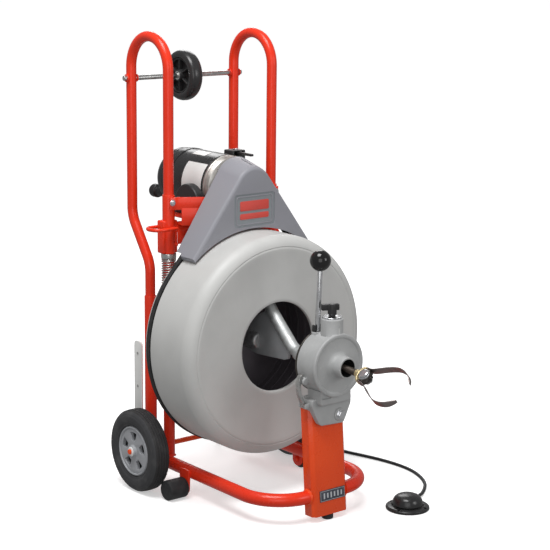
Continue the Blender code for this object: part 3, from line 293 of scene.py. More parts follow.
RED = paint("red_paint", linear(236, 56, 28), linear(228, 48, 24))
ORANGE = paint("column_paint", linear(244, 82, 30), linear(232, 68, 24))
DRUM = plastic("drum_plastic", linear(200, 200, 198), linear(191, 191, 189), 0.46, 420.0, 0.1)
GUARD = plastic("guard_plastic", linear(142, 142, 149), linear(143, 143, 148), 0.5, 620.0, 0.16)
PANEL = plastic("panel_plastic", linear(134, 139, 143), linear(126, 131, 135), 0.55, 620.0, 0.2)
BADGE = plastic("badge_red", linear(208, 72, 62), linear(190, 70, 62), 0.5, 300.0, 0.2)
CAST = cast_metal("cast_paint", linear(176, 177, 177), linear(160, 161, 161), linear(190, 190, 188))
ARM = bright_metal("cast_alloy", linear(214, 216, 216), linear(186, 188, 188), 0.56)
WEB = plastic("web_paint", linear(150, 152, 154), linear(128, 130, 132), 0.4, 300.0, 0.14)
STEEL = bright_metal("zinc_steel", linear(205, 205, 203), linear(168, 168, 168), 0.26)
CHROME = bright_metal("bright_steel", linear(225, 226, 228), linear(200, 201, 204), 0.16)
DARK_STEEL = bright_metal("dark_steel", linear(96, 92, 88), linear(66, 62, 60), 0.38)
BLADE_STEEL = bright_metal("blade_steel", linear(146, 136, 134), linear(112, 104, 104), 0.38)
BRASS = bright_metal("brass", linear(238, 220, 176), linear(206, 184, 138), 0.4)
BELL_ALLOY = bright_metal("bell_alloy", linear(196, 193, 188), linear(168, 165, 160), 0.42)
BLACK_GLOSS = plastic("black_gloss", linear(20, 20, 21), linear(28, 28, 29), 0.1, 200.0, 0.03)
# black paint of the motor and small parts, also used as painted shade inside the feed housing's bore
BLACK_PAINT_AND_BORE_SHADE = plastic("black_paint_and_bore_shade", linear(34, 34, 35), linear(44, 44, 45), 0.26, 340.0, 0.06)
BLACK_PLASTIC = plastic("black_plastic", linear(34, 34, 35), linear(46, 46, 47), 0.42, 520.0, 0.16)
PEDAL_RUBBER = plastic("pedal_rubber", linear(34, 34, 35), linear(46, 46, 47), 0.24, 300.0, 0.08)
HOSE_RUBBER = rubber("hose_rubber", linear(36, 37, 38), linear(54, 55, 56), 0.42)
INNER_BLACK = plastic("inner_black", linear(92, 86, 92), linear(104, 98, 104), 0.46, 300.0, 0.14)
LOADING_TYRE = plastic("wheel_rubber", linear(40, 40, 41), linear(52, 52, 53), 0.24, 200.0, 0.05)
CABLE = bright_metal("cable_wire", linear(92, 84, 78), linear(58, 52, 48), 0.42)
TYRE = rubber("tyre_rubber", linear(62, 62, 64), linear(82, 82, 82), 0.62)
TREAD = rubber("tread_rubber", linear(46, 45, 46), linear(66, 66, 66), 0.66)
FOOT = rubber("foot_rubber", linear(40, 40, 42), linear(62, 62, 62), 0.58)
BELT = rubber("belt_rubber", linear(34, 34, 35), linear(56, 56, 56), 0.6)
HUB = plastic("hub_plastic", linear(168, 170, 174), linear(152, 154, 158), 0.46, 420.0, 0.2)
# painted shade for the insides of the hub's windows
POCKET_SHADE = plastic("hub_pocket_shade", linear(52, 56, 60), linear(62, 66, 70), 0.55, 420.0, 0.2)
WHITE = plastic("white_plastic", linear(238, 238, 236), linear(226, 226, 223), 0.46, 420.0, 0.14)
LABEL = plastic("label_paper", linear(228, 228, 226), linear(214, 214, 212), 0.4, 60.0, 0.05)
PLATE = plastic("plate_enamel", linear(62, 66, 76), linear(84, 88, 98), 0.34, 300.0, 0.12)
LETTERS = plastic("plate_pale", linear(196, 198, 202), linear(176, 178, 182), 0.4, 300.0, 0.08)


# ---------------------------------------------------------------- shapes
def arc(centre, radius, start, end, count):
    """Points along an arc between two angles in degrees."""
    step = (end - start) / count
    angles = [math.radians(start + step * i) for i in range(count + 1)]
    return [(centre[0] + radius * math.cos(a), centre[1] + radius * math.sin(a)) for a in angles]


def eased(points, radius, closed=True, steps=4):
    """The same outline with its corners rounded."""
    rounded, count = [], len(points)
    for i, point in enumerate(points):
        if not closed and i in (0, count - 1):
            rounded.append(tuple(point))
            continue
        corner = Vector(point)
        before, after = Vector(points[i - 1]) - corner, Vector(points[(i + 1) % count]) - corner
        if before.length < 1e-7 or after.length < 1e-7 or before.angle(after) > math.radians(162):
            rounded.append(tuple(point))
            continue
        a = corner + before.normalized() * min(radius, before.length * 0.45)
        b = corner + after.normalized() * min(radius, after.length * 0.45)
        for step in range(steps + 1):
            t = step / steps
            rounded.append(tuple(a * (1 - t) ** 2 + corner * 2 * t * (1 - t) + b * t * t))
    return rounded


def symmetric(profile):
    """Half of a wheel's profile and its mirror image."""
    return profile + [(r, -t) for r, t in reversed(profile)]


def rectangle(half, low, high, radius):
    """Outline of a block centred across, between two heights, with rounded corners."""
    return eased([(-half, low), (half, low), (half, high), (-half, high)], radius)


def rounded_path(corners, radii, steps):
    """Polyline through 3-D corners, each replaced by a circular bend."""
    corners = [Vector(c) for c in corners]
    path = [corners[0]]
    for before, corner, after, radius in zip(corners, corners[1:], corners[2:], radii):
        a, b = (before - corner).normalized(), (after - corner).normalized()
        half = a.angle(b) / 2
        centre = corner + (a + b).normalized() * (radius / math.sin(half))
        start = corner + a * (radius / math.tan(half)) - centre
        turn = start.rotation_difference(corner + b * (radius / math.tan(half)) - centre)
        for i in range(steps + 1):
            share = Matrix.Rotation(turn.angle * i / steps, 3, turn.axis)
            path.append(centre + share @ start)
    path.append(corners[-1])
    return path


def strand(route, per_span):
    """Points of a smooth curve that passes through every point of a route."""
    route = [Vector(p) for p in route]
    padded = [route[0] * 2 - route[1]] + route + [route[-1] * 2 - route[-2]]
    points = []
    for a, b, c, d in zip(padded, padded[1:], padded[2:], padded[3:]):
        for step in range(per_span):
            t = step / per_span
            points.append(0.5 * ((2 * b) + (c - a) * t + (2 * a - 5 * b + 4 * c - d) * t * t
                + (3 * b - a - 3 * c + d) * t ** 3))
    points.append(route[-1])
    return points


def flat_strand(route):
    return [(p.x, p.y) for p in strand([(u, v, 0.0) for u, v in route], 8)]


def linked(name, mesh):
    obj = bpy.data.objects.new(name, mesh)
    bpy.context.scene.collection.objects.link(obj)
    return obj


def solid(name, bm):
    """Object from a bmesh, cleaned up and with its faces pointing out."""
    bmesh.ops.remove_doubles(bm, verts=bm.verts, dist=1e-6)
    bmesh.ops.dissolve_degenerate(bm, edges=bm.edges, dist=1e-7)
    bmesh.ops.recalc_face_normals(bm, faces=bm.faces)
    mesh = bpy.data.meshes.new(name)
    bm.to_mesh(mesh)
    bm.free()
    return linked(name, mesh)


def skin(bm, rings, closed=True):
    """Faces between each ring of vertices and the next."""
    count = len(rings[0])
    for here, there in zip(rings, rings[1:]):
        for j in range(count if closed else count - 1):
            k = (j + 1) % count
            bm.faces.new((here[j], here[k], there[k], there[j]))


AXES = {"X": lambda r, s, t: (t, r, s), "Y": lambda r, s, t: (r, t, s), "Z": lambda r, s, t: (r, s, t)}


def turned(name, profile, axis="Z", at=(0, 0, 0), steps=96, closed=True):
    """Solid of revolution; the profile is a list of (radius, distance along the axis)."""
    bm, place, at = bmesh.new(), AXES[axis], Vector(at)
    rings = []
    for i in range(steps):
        angle = 2 * math.pi * i / steps
        c, s = math.cos(angle), math.sin(angle)
        rings.append([bm.verts.new(at + Vector(place(r * c, r * s, t))) for r, t in profile])
    skin(bm, rings + rings[:1], closed)
    return solid(name, bm)


def spun(name, profile, ease, axis, at, steps, closed=True):
    """Solid of revolution whose profile has its corners rounded."""
    return turned(name, eased(profile, ease, closed), axis, at, steps, closed)


def evaluated(obj):
    """Replace an object by the mesh that its curve or modifiers make."""
    graph = bpy.context.evaluated_depsgraph_get()
    mesh = bpy.data.meshes.new_from_object(obj.evaluated_get(graph))
    made = linked(obj.name, mesh)
    made.matrix_world = obj.matrix_world
    name = obj.name
    bpy.data.objects.remove(obj, do_unlink=True)
    made.name = name
    return made


def applied(obj):
    """Put an object's own transform into its mesh."""
    bpy.context.view_layer.update()
    obj.data.transform(obj.matrix_world)
    obj.matrix_world = Matrix.Identity(4)
    return obj


def clean(obj, distance=1e-6):
    bm = bmesh.new()
    bm.from_mesh(obj.data)
    bmesh.ops.remove_doubles(bm, verts=bm.verts, dist=distance)
    bmesh.ops.recalc_face_normals(bm, faces=bm.faces)
    bm.to_mesh(obj.data)
    bm.free()
    return obj


def bevelled(obj, width, segments=3, angle=35.0):
    modifier = obj.modifiers.new("Edges", "BEVEL")
    modifier.width = width
    modifier.segments = segments
    modifier.limit_method = "ANGLE"
    modifier.angle_limit = math.radians(angle)
    modifier.use_clamp_overlap = True
    return evaluated(obj)


def plate(name, outlines, thickness, plane="XY", at=(0, 0, 0), bevel=0.0, segments=3):
    """Flat outline with any holes, extruded; plane XZ lies across Y and YZ across X."""
    curve = bpy.data.curves.new(name, "CURVE")
    curve.dimensions = "2D"
    curve.fill_mode = "BOTH"
    curve.extrude = thickness / 2
    for outline in outlines:
        spline = curve.splines.new("POLY")
        spline.points.add(len(outline) - 1)
        spline.use_cyclic_u = True
        for slot, (u, v) in zip(spline.points, outline):
            slot.co = (u, v, 0.0, 1.0)
    obj = linked(name, curve)
    turn = {"XY": Matrix.Identity(4), "XZ": Matrix.Rotation(math.pi / 2, 4, "X"),
        "YZ": Matrix(((0, 0, 1, 0), (1, 0, 0, 0), (0, 1, 0, 0), (0, 0, 0, 1)))}[plane]
    obj.matrix_world = Matrix.Translation(at) @ turn
    obj = clean(applied(evaluated(obj)))
    bm = bmesh.new()
    bm.from_mesh(obj.data)
    bmesh.ops.dissolve_limit(bm, angle_limit=math.radians(1.0), verts=bm.verts, edges=bm.edges)
    bm.to_mesh(obj.data)
    bm.free()
    return bevelled(obj, bevel, segments) if bevel else obj


def round_curve(name, radius, resolution):
    curve = bpy.data.curves.new(name, "CURVE")
    curve.dimensions = "3D"
    curve.bevel_depth = radius
    curve.bevel_resolution = resolution
    curve.use_fill_caps = True
    return curve


def pipe(name, points, radius, sides):
    """Round bar along a polyline, with filled ends."""
    curve = round_curve(name, radius, (sides - 4) // 2)
    spline = curve.splines.new("POLY")
    spline.points.add(len(points) - 1)
    for slot, point in zip(spline.points, points):
        slot.co = (*point, 1.0)
    return clean(evaluated(linked(name, curve)))


def aimed(obj, at, way):
    """Point a shape that was drawn along Z another way, and move it into place."""
    turn = Vector((0, 0, 1)).rotation_difference(Vector(way)).to_matrix().to_4x4()
    obj.data.transform(Matrix.Translation(at) @ turn)
    return obj


def swung(obj, at, angle, axis):
    """Turn a shape about an axis through the origin, then move it into place."""
    obj.data.transform(Matrix.Translation(at) @ Matrix.Rotation(angle, 4, axis))
    return obj


def rod(name, start, end, radius, ease=0.0006, sides=48):
    """Round bar between two points with eased ends."""
    start, end = Vector(start), Vector(end)
    length = (end - start).length
    profile = eased([(0.0, 0.0), (radius, 0.0), (radius, length), (0.0, length)], ease, False)
    return aimed(turned(name, profile, "Z", (0, 0, 0), sides, False), start, end - start)


def box(name, low, high, bevel=0.001, segments=3):
    """Block between two corners with rounded edges."""
    bm = bmesh.new()
    bmesh.ops.create_cube(bm, size=1.0)
    low, high = Vector(low), Vector(high)
    size = high - low
    matrix = Matrix.Translation((low + high) / 2) @ Matrix.Diagonal((*size, 1.0))
    bmesh.ops.transform(bm, matrix=matrix, verts=bm.verts)
    obj = solid(name, bm)
    return bevelled(obj, bevel, segments) if bevel else obj


def hex_head(name, at, way, across, height):
    """Hexagon bolt head with a chamfered face and a washer under it."""
    radius = across / math.sqrt(3)
    profile = [(0.0, 0.0), (radius, 0.0), (radius, height * 0.86), (radius * 0.88, height),
        (0.0, height)]
    obj = turned(name, profile, "Z", (0, 0, 0), 6, closed=False)
    washer = [(0.0, -0.0012), (radius * 1.18, -0.0012), (radius * 1.18, 0.0002), (0.0, 0.0002)]
    join(obj, spun(name + "_washer", washer, 0.0003, "Z", (0, 0, 0), 48, False))
    return aimed(obj, at, way)


def coated(obj, *materials):
    """Give an object's mesh its materials."""
    for material in materials:
        obj.data.materials.append(material)
    return obj


def join(target, *others):
    """Put other meshes into the same object, materials included."""
    for other in others:
        bm = bmesh.new()
        bm.from_mesh(target.data)
        offset = len(target.data.materials) if other.data.materials else 0
        for material in other.data.materials:
            target.data.materials.append(material)
        first = len(bm.faces)
        applied(other)
        bm.from_mesh(other.data)
        bm.faces.ensure_lookup_table()
        for face in bm.faces[first:]:
            face.material_index += offset
        bm.to_mesh(target.data)
        bm.free()
        bpy.data.objects.remove(other, do_unlink=True)
    return target


def bolt_circle(target, middle, radius, angles, way, across, height, *materials):
    """Join bolt heads to a part, on a circle round the Y direction."""
    for angle in angles:
        out = Vector((math.cos(math.radians(angle)), 0, math.sin(math.radians(angle))))
        head = hex_head("bolt", Vector(middle) + out * radius, way, across, height)
        join(target, coated(head, *materials))


def combine(target, other, operation):
    """Boolean of two closed meshes; the second is used up."""
    modifier = target.modifiers.new("Boolean", "BOOLEAN")
    modifier.operation = operation
    modifier.solver = "EXACT"
    modifier.object = other
    bpy.context.view_layer.update()
    made = evaluated(target)
    bpy.data.objects.remove(other, do_unlink=True)
    return made


def cut(target, other):
    return combine(target, other, "DIFFERENCE")


def fuse(target, other):
    return combine(target, other, "UNION")


def smooth(obj, angle):
    obj.data.shade_smooth()
    obj.data.set_sharp_from_angle(angle=math.radians(angle))


def show(obj, material, body, slot, *nodes, angle=32.0):
    """Give a finished piece its material, smooth shading and body, and hide the nodes that it stands
    for; slot is not used.
    """
    if material and not obj.data.materials:
        obj.data.materials.append(material)
    smooth(obj, angle)
    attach(obj, body)
    if nodes:
        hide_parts(*nodes)
    return obj


def tag(side):
    return "left" if side < 0 else "right"


# ---------------------------------------------------------------- hose
def make_hose():
    """Air hose: from the pedal over the floor, three turns of coil, then up to its socket."""
    low = PEDAL + Vector((0, 0, 0.0065))
    lift = HOSE_RADIUS + 0.0002
    route = [low + NOZZLE_WAY * 0.0708, low + NOZZLE_WAY * 0.083]
    route += [Vector((x, y, lift)) for x, y in HOSE_ON_FLOOR]
    per_turn = 14
    for i in range(int(COIL_TURNS * per_turn) + 1):
        angle = 2 * math.pi * i / per_turn
        rise = lift + 2 * HOSE_RADIUS * i / per_turn
        route.append(COIL_AT + Vector((COIL_RADIUS * math.cos(angle), COIL_RADIUS * math.sin(angle),
            rise)))
    route += [Vector(p) for p in HOSE_RISE] + [HOSE_END]
    curve = round_curve("hose", HOSE_RADIUS, 5)
    curve.resolution_u = 6
    spline = curve.splines.new("BEZIER")
    spline.bezier_points.add(len(route) - 1)
    for knot, point in zip(spline.bezier_points, route):
        knot.co = point
        knot.handle_left_type = knot.handle_right_type = "AUTO"
    hose = linked("hose", curve)
    curve.materials.append(HOSE_RUBBER)
    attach(hose, "base")
    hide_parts("air_hose", "hose_coil", "hose_riser")
    return hose, route


# ---------------------------------------------------------------- frame tubes
def make_base_tube():
    corners = [(-BASE_HALF_WIDTH, BASE_REAR_Y, BASE_Z), (-BASE_HALF_WIDTH, BASE_FRONT_Y, BASE_Z),
        (BASE_HALF_WIDTH, BASE_FRONT_Y, BASE_Z), (BASE_HALF_WIDTH, BASE_REAR_Y, BASE_Z)]
    base = pipe("base_loop", rounded_path(corners, [0.105, 0.105], 24), BASE_RADIUS, 36)
    outer = BASE_HALF_WIDTH + BASE_RADIUS
    for side in (-1, 1):
        outline = arc((0, 0), 0.0185, -160, -20, 16) + [(0.02, 0.045), (-0.02, 0.045)]
        at = (side * (outer + 0.0018), FOOT_ROLL_Y, FOOT_ROLL_RADIUS)
        join(base, plate("foot_bracket", [eased(outline, 0.004)], 0.006, "YZ", at, 0.0012))
        start = Vector((side * (outer - 0.006), FOOT_ROLL_Y, FOOT_ROLL_RADIUS))
        join(base, rod("foot_pin", start, start + Vector((side * 0.042, 0, 0)), 0.005))
        head = start + Vector((side * 0.003, 0, 0))
        join(base, hex_head("foot_nut", head, (-side, 0, 0), 0.013, 0.006))
        end = (side * BASE_HALF_WIDTH, BASE_REAR_Y, BASE_Z)
        join(base, spun("tube_plug", [(0, 0.0), (0.0135, 0.0), (0.0135, 0.0035), (0, 0.0045)], 0.0012,
            "Y", end, 32, False))
    show(base, RED, "base", "red", "base_tube")


def make_side_frames():
    foot = BASE_Z + BASE_RADIUS + 0.0003
    for side in (-1, 1):
        x = side * HANDLE_X
        frame_piece = rod("frame", (x, LEG_FRONT_Y, foot), (x, LEG_FRONT_Y, 0.655), 0.014, 0.001, 40)
        sleeve = eased([(0.015, foot), (0.015, 0.471), (0.0134, 0.471), (0.0134, foot)], 0.0005)
        join(frame_piece, turned("sleeve", sleeve, "Z", (x, SLEEVE_Y, 0), 40))
        join(frame_piece, box("brace", (x - 0.003, LEG_FRONT_Y + 0.012, 0.3),
            (x + 0.003, SLEEVE_Y - 0.014, 0.332), 0.0008))
        outline = [(-0.026, -0.0265), (0.026, -0.0265), (0.026, -0.01)]
        outline += arc((0, 0), 0.016, 20, 160, 16) + [(-0.026, -0.01)]
        at = (side * (HANDLE_X + 0.015), AXLE_Y, AXLE_Z)
        join(frame_piece, plate("axle_plate", [eased(outline, 0.003)], 0.005, "YZ", at, 0.001))
        join(frame_piece, rod("stop", (x, LEG_FRONT_Y, 0.424), (x, LEG_FRONT_Y, 0.4335), 0.019))
        for y, radius, outer in ((LEG_FRONT_Y, 0.0135, 0.0175), (SLEEVE_Y, 0.0145, 0.0185)):
            bead = eased([(radius, foot - 0.0002), (outer, foot), (radius, foot + 0.0042)], 0.0008)
            join(frame_piece, turned("weld", bead, "Z", (x, y, 0), 32))
        frame_piece.name = f"side_frame_paint_{tag(side)}"
        show(frame_piece, RED, "base", "red", f"side_frame_{tag(side)}")


def make_carrier():
    """Cross member with the drum's bearing, and the flat bar behind it."""
    reach = HANDLE_X - 0.0143
    beam = box("carrier_beam", (-reach, 0.4125, DRUM_Z - 0.022), (reach, 0.4365, DRUM_Z + 0.022),
        0.0015)
    bearing = eased([(0.014, 0.4135), (0.033, 0.4135), (0.033, 0.406), (0.022, 0.405), (0.022, 0.399),
        (0.014, 0.399)], 0.0012)
    join(beam, turned("bearing", bearing, "Y", (0, 0, DRUM_Z), 64))
    show(beam, RED, "base", "red", "drum_carrier")
    reach = HANDLE_X - 0.0153
    bar = box("rear_flat_bar", (-reach, SLEEVE_Y - 0.003, 0.199), (reach, SLEEVE_Y + 0.003, 0.231),
        0.0008)
    show(bar, RED, "base", "red", "rear_bar")


def make_axle():
    axle = coated(rod("axle_bar", (-0.2735, AXLE_Y, AXLE_Z), (0.2735, AXLE_Y, AXLE_Z), 0.0064, 0.0016,
        32), ORANGE)
    for side in (-1, 1):
        spacer = coated(rod("spacer", (side * 0.1778, AXLE_Y, AXLE_Z), (side * 0.214, AXLE_Y, AXLE_Z),
            0.0105), RED)
        cap = [(0.0066, 0.2667), (0.012, 0.2667), (0.012, 0.2676), (0.01, 0.2692), (0.0066, 0.2696)]
        cap = [(r, side * t) for r, t in eased(cap, 0.0004)]
        nut = coated(turned("push_nut", cap, "X", (0, AXLE_Y, AXLE_Z), 32), WHITE)
        join(axle, spacer, nut)
    show(axle, None, "base", "red", "wheel_axle")


def make_feet():
    for side in (-1, 1):
        face = BASE_HALF_WIDTH + BASE_RADIUS + 0.0051
        profile = [(0.0, 0.0532), (0.0045, 0.0532), (0.006, 0.054), (0.0225, 0.054), (0.025, 0.0515),
            (0.025, 0.003), (0.0225, 0.0), (0.0054, 0.0), (0.0054, 0.036), (0.0, 0.036)]
        profile = [(r, side * t) for r, t in eased(profile, 0.0012, False)]
        roll = turned(f"rear_foot_roll_{tag(side)}", profile, "X",
            (side * face, FOOT_ROLL_Y, FOOT_ROLL_RADIUS), 72, False)
        show(roll, FOOT, "base", "rubber", f"rear_foot_{tag(side)}")
    profile = [(0.0, 0.024), (0.004, 0.024), (0.004, 0.0136), (0.0115, 0.0133), (0.014, 0.011),
        (0.014, 0.0075), (0.0132, 0.007), (0.0132, 0.0062), (0.014, 0.0057), (0.014, 0.002),
        (0.012, 0.0), (0.0, 0.0)]
    foot = spun("front_rubber_foot", profile, 0.0006, "Z", (0, 0, 0), 64, False)
    show(foot, FOOT, "base", "rubber", "front_foot")


def make_stair_slides():
    low, high, front, back = 0.118, 0.352, 0.516, 0.549
    outline = eased([(back, high), (front, high), (front, low), (back, low)], 0.012, steps=8)
    for side in (-1, 1):
        x = side * (HANDLE_X + 0.0178)
        slide = coated(plate(f"slide_{tag(side)}", [outline], 0.005, "YZ", (x, 0, 0), 0.0014), WHITE)
        for z in (0.15, 0.235, 0.32):
            join(slide, coated(rod("screw", (x, (front + back) / 2, z),
                (x + side * 0.0036, (front + back) / 2, z), 0.0035), STEEL))
        show(slide, None, "base", "white", f"stair_slide_{tag(side)}")


# ---------------------------------------------------------------- column
def lean(obj):
    """Move a shape drawn upright at the column's foot onto the leaning column."""
    matrix = Matrix.Identity(4)
    matrix[1][2] = math.tan(COLUMN_LEAN)
    applied(obj).data.transform(Matrix.Translation((0, COLUMN_FRONT_Y, COLUMN_BOTTOM_Z)) @ matrix)
    return obj


def make_column():
    half, chamfer, deep = COLUMN_HALF_WIDTH, 0.008, COLUMN_DEPTH
    outer = eased([(-half, chamfer), (chamfer - half, 0.0), (half - chamfer, 0.0), (half, chamfer)],
        0.003, False)
    outer = [(-half, deep)] + outer + [(half, deep)]
    inner = [(half - SHEET, deep), (half - SHEET, chamfer + SHEET / 2),
        (half - SHEET / 2 - chamfer, SHEET), (SHEET / 2 + chamfer - half, SHEET),
        (SHEET - half, chamfer + SHEET / 2), (SHEET - half, deep)]
    column = plate("column_channel", [outer + inner], COLUMN_HEIGHT, "XY", (0, 0, COLUMN_HEIGHT / 2))
    lean(column)
    for side in (-1, 1):
        hole = rod("hole", (side * 0.04, BASE_FRONT_Y, BASE_Z), (side * 0.06, BASE_FRONT_Y, BASE_Z),
            BASE_RADIUS + 0.0006)
        column = cut(column, hole)
    column = bevelled(column, 0.0007, 2, 50.0)
    floor = lean(box("column_floor", (0.0035 - half, 0.0035, 0.0), (half - 0.0035, deep, SHEET),
        0.0006))
    join(column, floor)
    for side in (-1, 1):
        bead = eased([(BASE_RADIUS, 0.0), (BASE_RADIUS + 0.004, 0.0), (BASE_RADIUS, 0.004)], 0.0008)
        bead = [(r, side * (half + t)) for r, t in bead]
        join(column, turned("weld", bead, "X", (0, BASE_FRONT_Y, BASE_Z), 48))
    show(column, ORANGE, "base", "red", "front_column")


def make_column_plate():
    """Dark enamel plate with a pale border and a row of plain bars."""
    low, high, bottom, top = -0.034, 0.043, 0.034, 0.061
    panel = coated(box("plate_panel", (low, -0.0018, bottom), (high, -0.0003, top), 0.0004, 2), PLATE)
    inset, line = 0.0018, 0.0007
    outer = [(low + inset, bottom + inset), (high - inset, bottom + inset), (high - inset, top - inset),
        (low + inset, top - inset)]
    inner = [(low + inset + line, bottom + inset + line), (high - inset - line, bottom + inset + line),
        (high - inset - line, top - inset - line), (low + inset + line, top - inset - line)]
    border = plate("border", [outer, inner], 0.0003, "XZ", (0, -0.0019, 0))
    join(panel, coated(border, LETTERS))
    for i in range(6):
        x, tall = low + 0.011 + 0.0105 * i, (top - bottom) * (0.42 if i % 2 else 0.5)
        middle = (bottom + top) / 2
        bar = box("bar", (x, -0.00205, middle - tall / 2), (x + 0.0042, -0.0017, middle + tall / 2),
            0.0001, 1)
        join(panel, coated(bar, LETTERS))
    show(lean(panel), None, "base", "plate", "column_plate")


# ---------------------------------------------------------------- wheels
def make_wheel(side):
    centre = (side * WHEEL_X, AXLE_Y, AXLE_Z)
    half = WHEEL_HALF
    wall = [(0.0632, half - 0.0065), (0.0665, half - 0.004), (0.069, half - 0.004),
        (0.0735, half - 0.0012), (0.08, half - 0.0002), (0.088, half - 0.0006), (0.0895, half - 0.0016),
        (0.0935, half - 0.0026), (0.0985, half - 0.006), (0.1012, half - 0.0098)]
    tread, grooves = [], (0.012, 0.004, -0.004, -0.012)
    for t in grooves:
        crown = WHEEL_RADIUS - 0.0012 * (t / 0.016) ** 2
        tread += [(crown, t + 0.0022), (crown - 0.0022, t + 0.0012), (crown - 0.0022, t - 0.0012),
            (crown, t - 0.0022)]
    profile = eased(wall + tread + [(r, -t) for r, t in reversed(wall)], 0.0009, steps=3)
    tyre = turned(f"tyre_rubber_{tag(side)}", profile, "X", centre, 128)
    coated(tyre, TYRE, TREAD)
    for face in tyre.data.polygons:
        middle = face.center - Vector(centre)
        if math.hypot(middle.y, middle.z) > 0.0995:
            face.material_index = 1
    show(tyre, None, f"{tag(side)}_wheel", "tyre", f"tyre_{tag(side)}", angle=50.0)

    rim = 0.0624
    ring = symmetric([(rim, half - 0.0075), (0.0605, half - 0.004), (0.0575, half - 0.004),
        (0.0555, half - 0.0075), (0.0548, 0.008)])
    hub = spun("hub", ring, 0.0012, "X", centre, 112)
    outlines = [arc((0, 0), 0.0556, 0, 360, 96)[:-1]]
    for spoke in range(5):
        angle = 90 + 72 * spoke
        window = arc((0, 0), 0.048, angle - 17, angle + 17, 8) + arc((0, 0), 0.0265, angle + 15,
            angle - 15, 4)
        outlines.append(eased(window, 0.005, steps=5))
    outlines.append(arc((0, 0), 0.012, 0, 360, 40)[:-1])
    for way in (-1, 1):
        middle = (centre[0] + way * (half - 0.0115), AXLE_Y, AXLE_Z)
        join(hub, plate("web", outlines, 0.01, "YZ", middle, 0.0018, 3))
    # painted shade: a dark disc between the two webs fills the hub's windows, for the shade inside them
    floor = plate("pockets", [outlines[0], outlines[-1]], 0.006, "YZ", centre)
    coated(hub, HUB)
    join(hub, coated(floor, POCKET_SHADE))
    boss = symmetric([(0.0069, half), (0.012, half), (0.014, half - 0.0012), (0.015, half - 0.005),
        (0.0185, half - 0.0075)])
    join(hub, spun("boss", boss, 0.0008, "X", centre, 64))
    hub.name = f"wheel_centre_{tag(side)}"
    show(hub, None, f"{tag(side)}_wheel", "hub", f"wheel_hub_{tag(side)}")


def make_loading_wheel():
    at, half, outer = (0, LEG_REAR_Y, LOADING_AXLE_Z), 0.0185, 0.0635
    reach = HANDLE_X + TUBE_RADIUS + 0.01
    start, end = (-reach, LEG_REAR_Y, LOADING_AXLE_Z), (reach, LEG_REAR_Y, LOADING_AXLE_Z)
    axle = rod("loading_bar", start, end, 0.0064, 0.0014, 40)
    show(axle, STEEL, "carriage", "steel", "loading_axle")
    for side in (-1, 1):
        low, high = side * (TUBE_RADIUS + 0.0002), side * (TUBE_RADIUS + 0.003)
        clip = [(0.0066, low), (0.0098, low), (0.0098, high), (0.0066, high)]
        for way in (-1, 1):
            x = side * HANDLE_X
            ring = spun(f"axle_clip_{tag(side)}_{tag(way)}", [(r, x + way * abs(t)) for r, t in clip],
                0.0005, "X", (0, LEG_REAR_Y, LOADING_AXLE_Z), 40)
            show(ring, RED, "carriage", "red")
    tyre = symmetric([(0.0445, half - 0.002), (0.048, half - 0.0002), (0.054, half),
        (0.0592, half - 0.003), (0.0622, half - 0.008), (outer, 0.004)])
    tyre = turned("loading_wheel_tyre", eased(tyre, 0.003, steps=5), "X", at, 112)
    show(tyre, LOADING_TYRE, "loading_wheel", "tyre", "loading_tyre", angle=50.0)
    ring = symmetric([(0.0435, half - 0.003), (0.04, half - 0.0045), (0.0385, 0.0035), (0.016, 0.0035),
        (0.014, half + 0.0015), (0.0069, half + 0.002)])
    hub = coated(spun("loading_wheel_hub", ring, 0.0012, "X", at, 96), BLACK_PLASTIC)
    for spoke in range(6):
        for side in (-1, 1):
            rib = box("rib", (side * 0.002, -0.0016, 0.013), (side * 0.015, 0.0016, 0.0405), 0.001)
            swung(rib, at, math.radians(60 * spoke), "X")
            join(hub, coated(rib, BLACK_PLASTIC))
    for side in (-1, 1):
        cap = [(0.0069, half + 0.0012), (0.0112, half + 0.0012), (0.0104, half + 0.002),
            (0.0069, half + 0.002)]
        cap = turned("cap", [(r, side * t) for r, t in eased(cap, 0.0002)], "X", at, 48)
        join(hub, coated(cap, STEEL))
    show(hub, None, "loading_wheel", "hub", "loading_hub")


